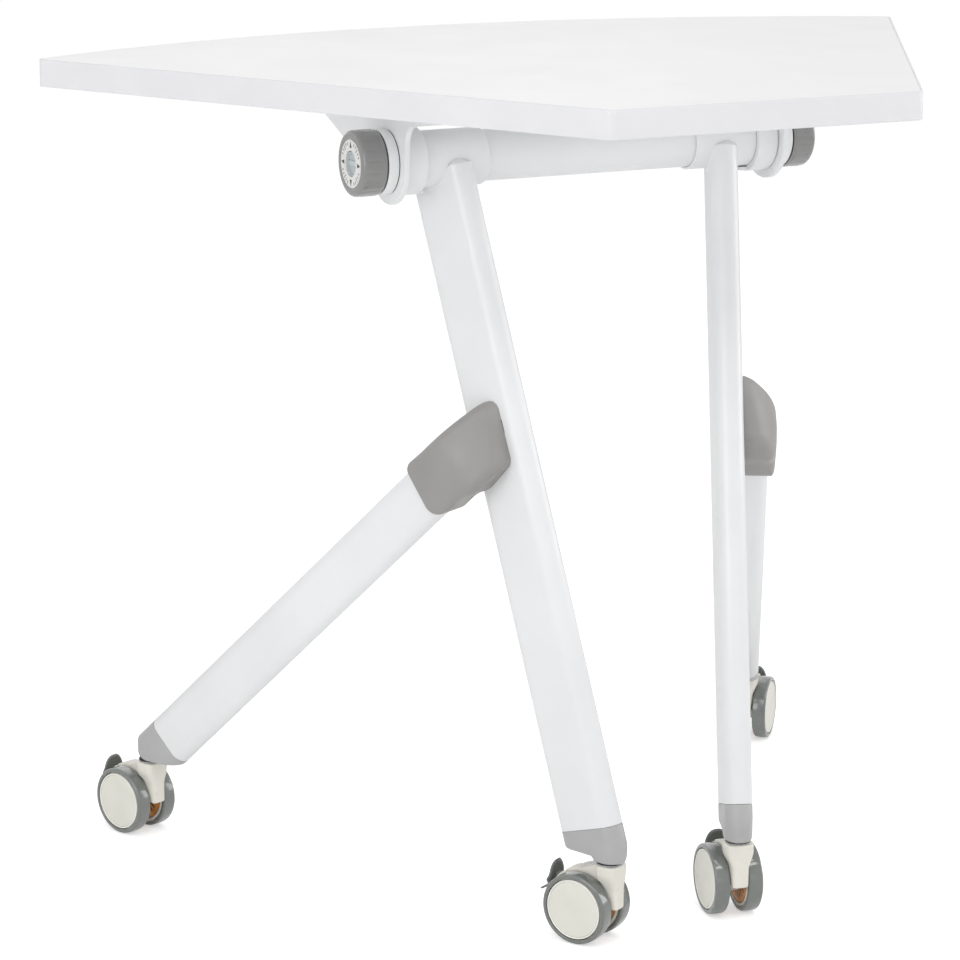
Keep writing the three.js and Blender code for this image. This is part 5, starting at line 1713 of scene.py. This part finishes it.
@dataclass(frozen=True)
class Studio:
    """A pale floor, soft lamps and the camera."""

    camera_at: Place = (-1.3625, -2.6070, 1.0878)
    yaw: float = 25.844
    pitch: float = -13.761
    roll: float = 0.163
    lens: float = 125.28
    sensor: float = 36.0
    far: float = 60.0
    floor_half: float = 12.0
    floor_glow: float = 0.45
    floor_bounce: float = 0.1
    ambient: float = 0.6
    lamps: tuple[Lamp, ...] = (
        Lamp("key_lamp", (-2.4, -2.0, 3.0), 2.2, 2.2, 25.0),
        Lamp("front_lamp", (0.45, -2.1, 2.4), 1.1, 0.4, 6.5),
        Lamp("low_lamp", (-0.6, -3.2, 0.7), 2.0, 0.8, 2.5),
        Lamp("left_lamp", (-2.8, -1.2, 0.9), 1.2, 1.2, 12.0),
        Lamp("right_lamp", (2.9, -0.8, 1.0), 1.6, 1.4, 18.0),
        Lamp("back_lamp", (0.6, 2.8, 2.6), 2.2, 2.2, 9.0),
        Lamp("top_strip", (0.5, -1.1, 2.6), 0.3, 1.0, 4.0),
    )

    def floor(self) -> None:
        """A level sheet of white paper, lit a little for the camera so that only shadows show on it."""
        reach = self.floor_half
        data = bpy.data.meshes.new("studio_floor")
        data.from_pydata([(-reach, -reach, 0), (reach, -reach, 0), (reach, reach, 0), (-reach, reach, 0)], [],
                         [(0, 1, 2, 3)])
        material = emptied(bpy.data.materials.new("Studio_paper_white"))
        paper = add_node(material, "ShaderNodeBsdfDiffuse", {"Color": linear("F6F6F6")})
        rays = add_node(material, "ShaderNodeLightPath")
        levels = {"operation": "MULTIPLY_ADD", 1: self.floor_glow - self.floor_bounce, 2: self.floor_bounce}
        level = add_node(material, "ShaderNodeMath", levels, {0: rays.outputs["Is Camera Ray"]})
        glow = add_node(material, "ShaderNodeEmission", {"Color": WHITE}, {"Strength": level.outputs[0]})
        both = add_node(material, "ShaderNodeAddShader", {}, {0: paper.outputs[0], 1: glow.outputs[0]})
        add_node(material, "ShaderNodeOutputMaterial", {}, {"Surface": both.outputs[0]})
        data.materials.append(material)
        sheet = linked("studio_floor", data)

    def sky(self) -> None:
        """Even light all round, white where the camera or a mirror sees it."""
        world = emptied(bpy.data.worlds.new("studio_sky"))
        bpy.context.scene.world = world
        rays = add_node(world, "ShaderNodeLightPath")
        seen = add_node(world, "ShaderNodeMath", {"operation": "MAXIMUM"},
                        {0: rays.outputs["Is Camera Ray"], 1: rays.outputs["Is Glossy Ray"]})
        soft = add_node(world, "ShaderNodeBackground", {"Color": WHITE, "Strength": self.ambient})
        white = add_node(world, "ShaderNodeBackground", {"Color": WHITE, "Strength": 1.0})
        mix = add_node(world, "ShaderNodeMixShader", {},
                       {0: seen.outputs[0], 1: soft.outputs[0], 2: white.outputs[0]})
        add_node(world, "ShaderNodeOutputWorld", {}, {"Surface": mix.outputs[0]})

    def camera(self) -> None:
        """The photograph's viewpoint."""
        data = bpy.data.cameras.new("photo_camera")
        data.lens, data.sensor_width, data.clip_end = self.lens, self.sensor, self.far
        camera = linked("photo_camera", data)
        camera.location = self.camera_at
        aim = Euler((math.radians(90 + self.pitch), 0, math.radians(-self.yaw))).to_matrix()
        camera.rotation_euler = (aim @ Matrix.Rotation(math.radians(self.roll), 3, "Z")).to_euler()
        bpy.context.scene.camera = camera

    def build(self) -> None:
        """Set up the studio."""
        bpy.context.scene.view_settings.view_transform = "Standard"
        self.floor()
        self.sky()
        self.camera()
        for lamp in self.lamps:
            lamp.build()


def main() -> None:
    """Build the table and its studio in order."""
    logging.basicConfig(level=logging.INFO)
    palette = Palette()
    Studio().build()
    TableTop().build(palette)
    for side in Side:
        beam = Beam(side)
        leg = ForkedLeg(beam)
        beam.build(palette)
        FlipBracket(beam).build(palette)
        leg.build(palette)
        for place in ("FRONT", "REAR"):
            corner = Corner[f"{place}_{side.name}"]
            Caster(corner, tuple(leg.stem(place == "FRONT"))).build(palette)
    bpy.context.view_layer.update()


if __name__ == "__main__":
    main()
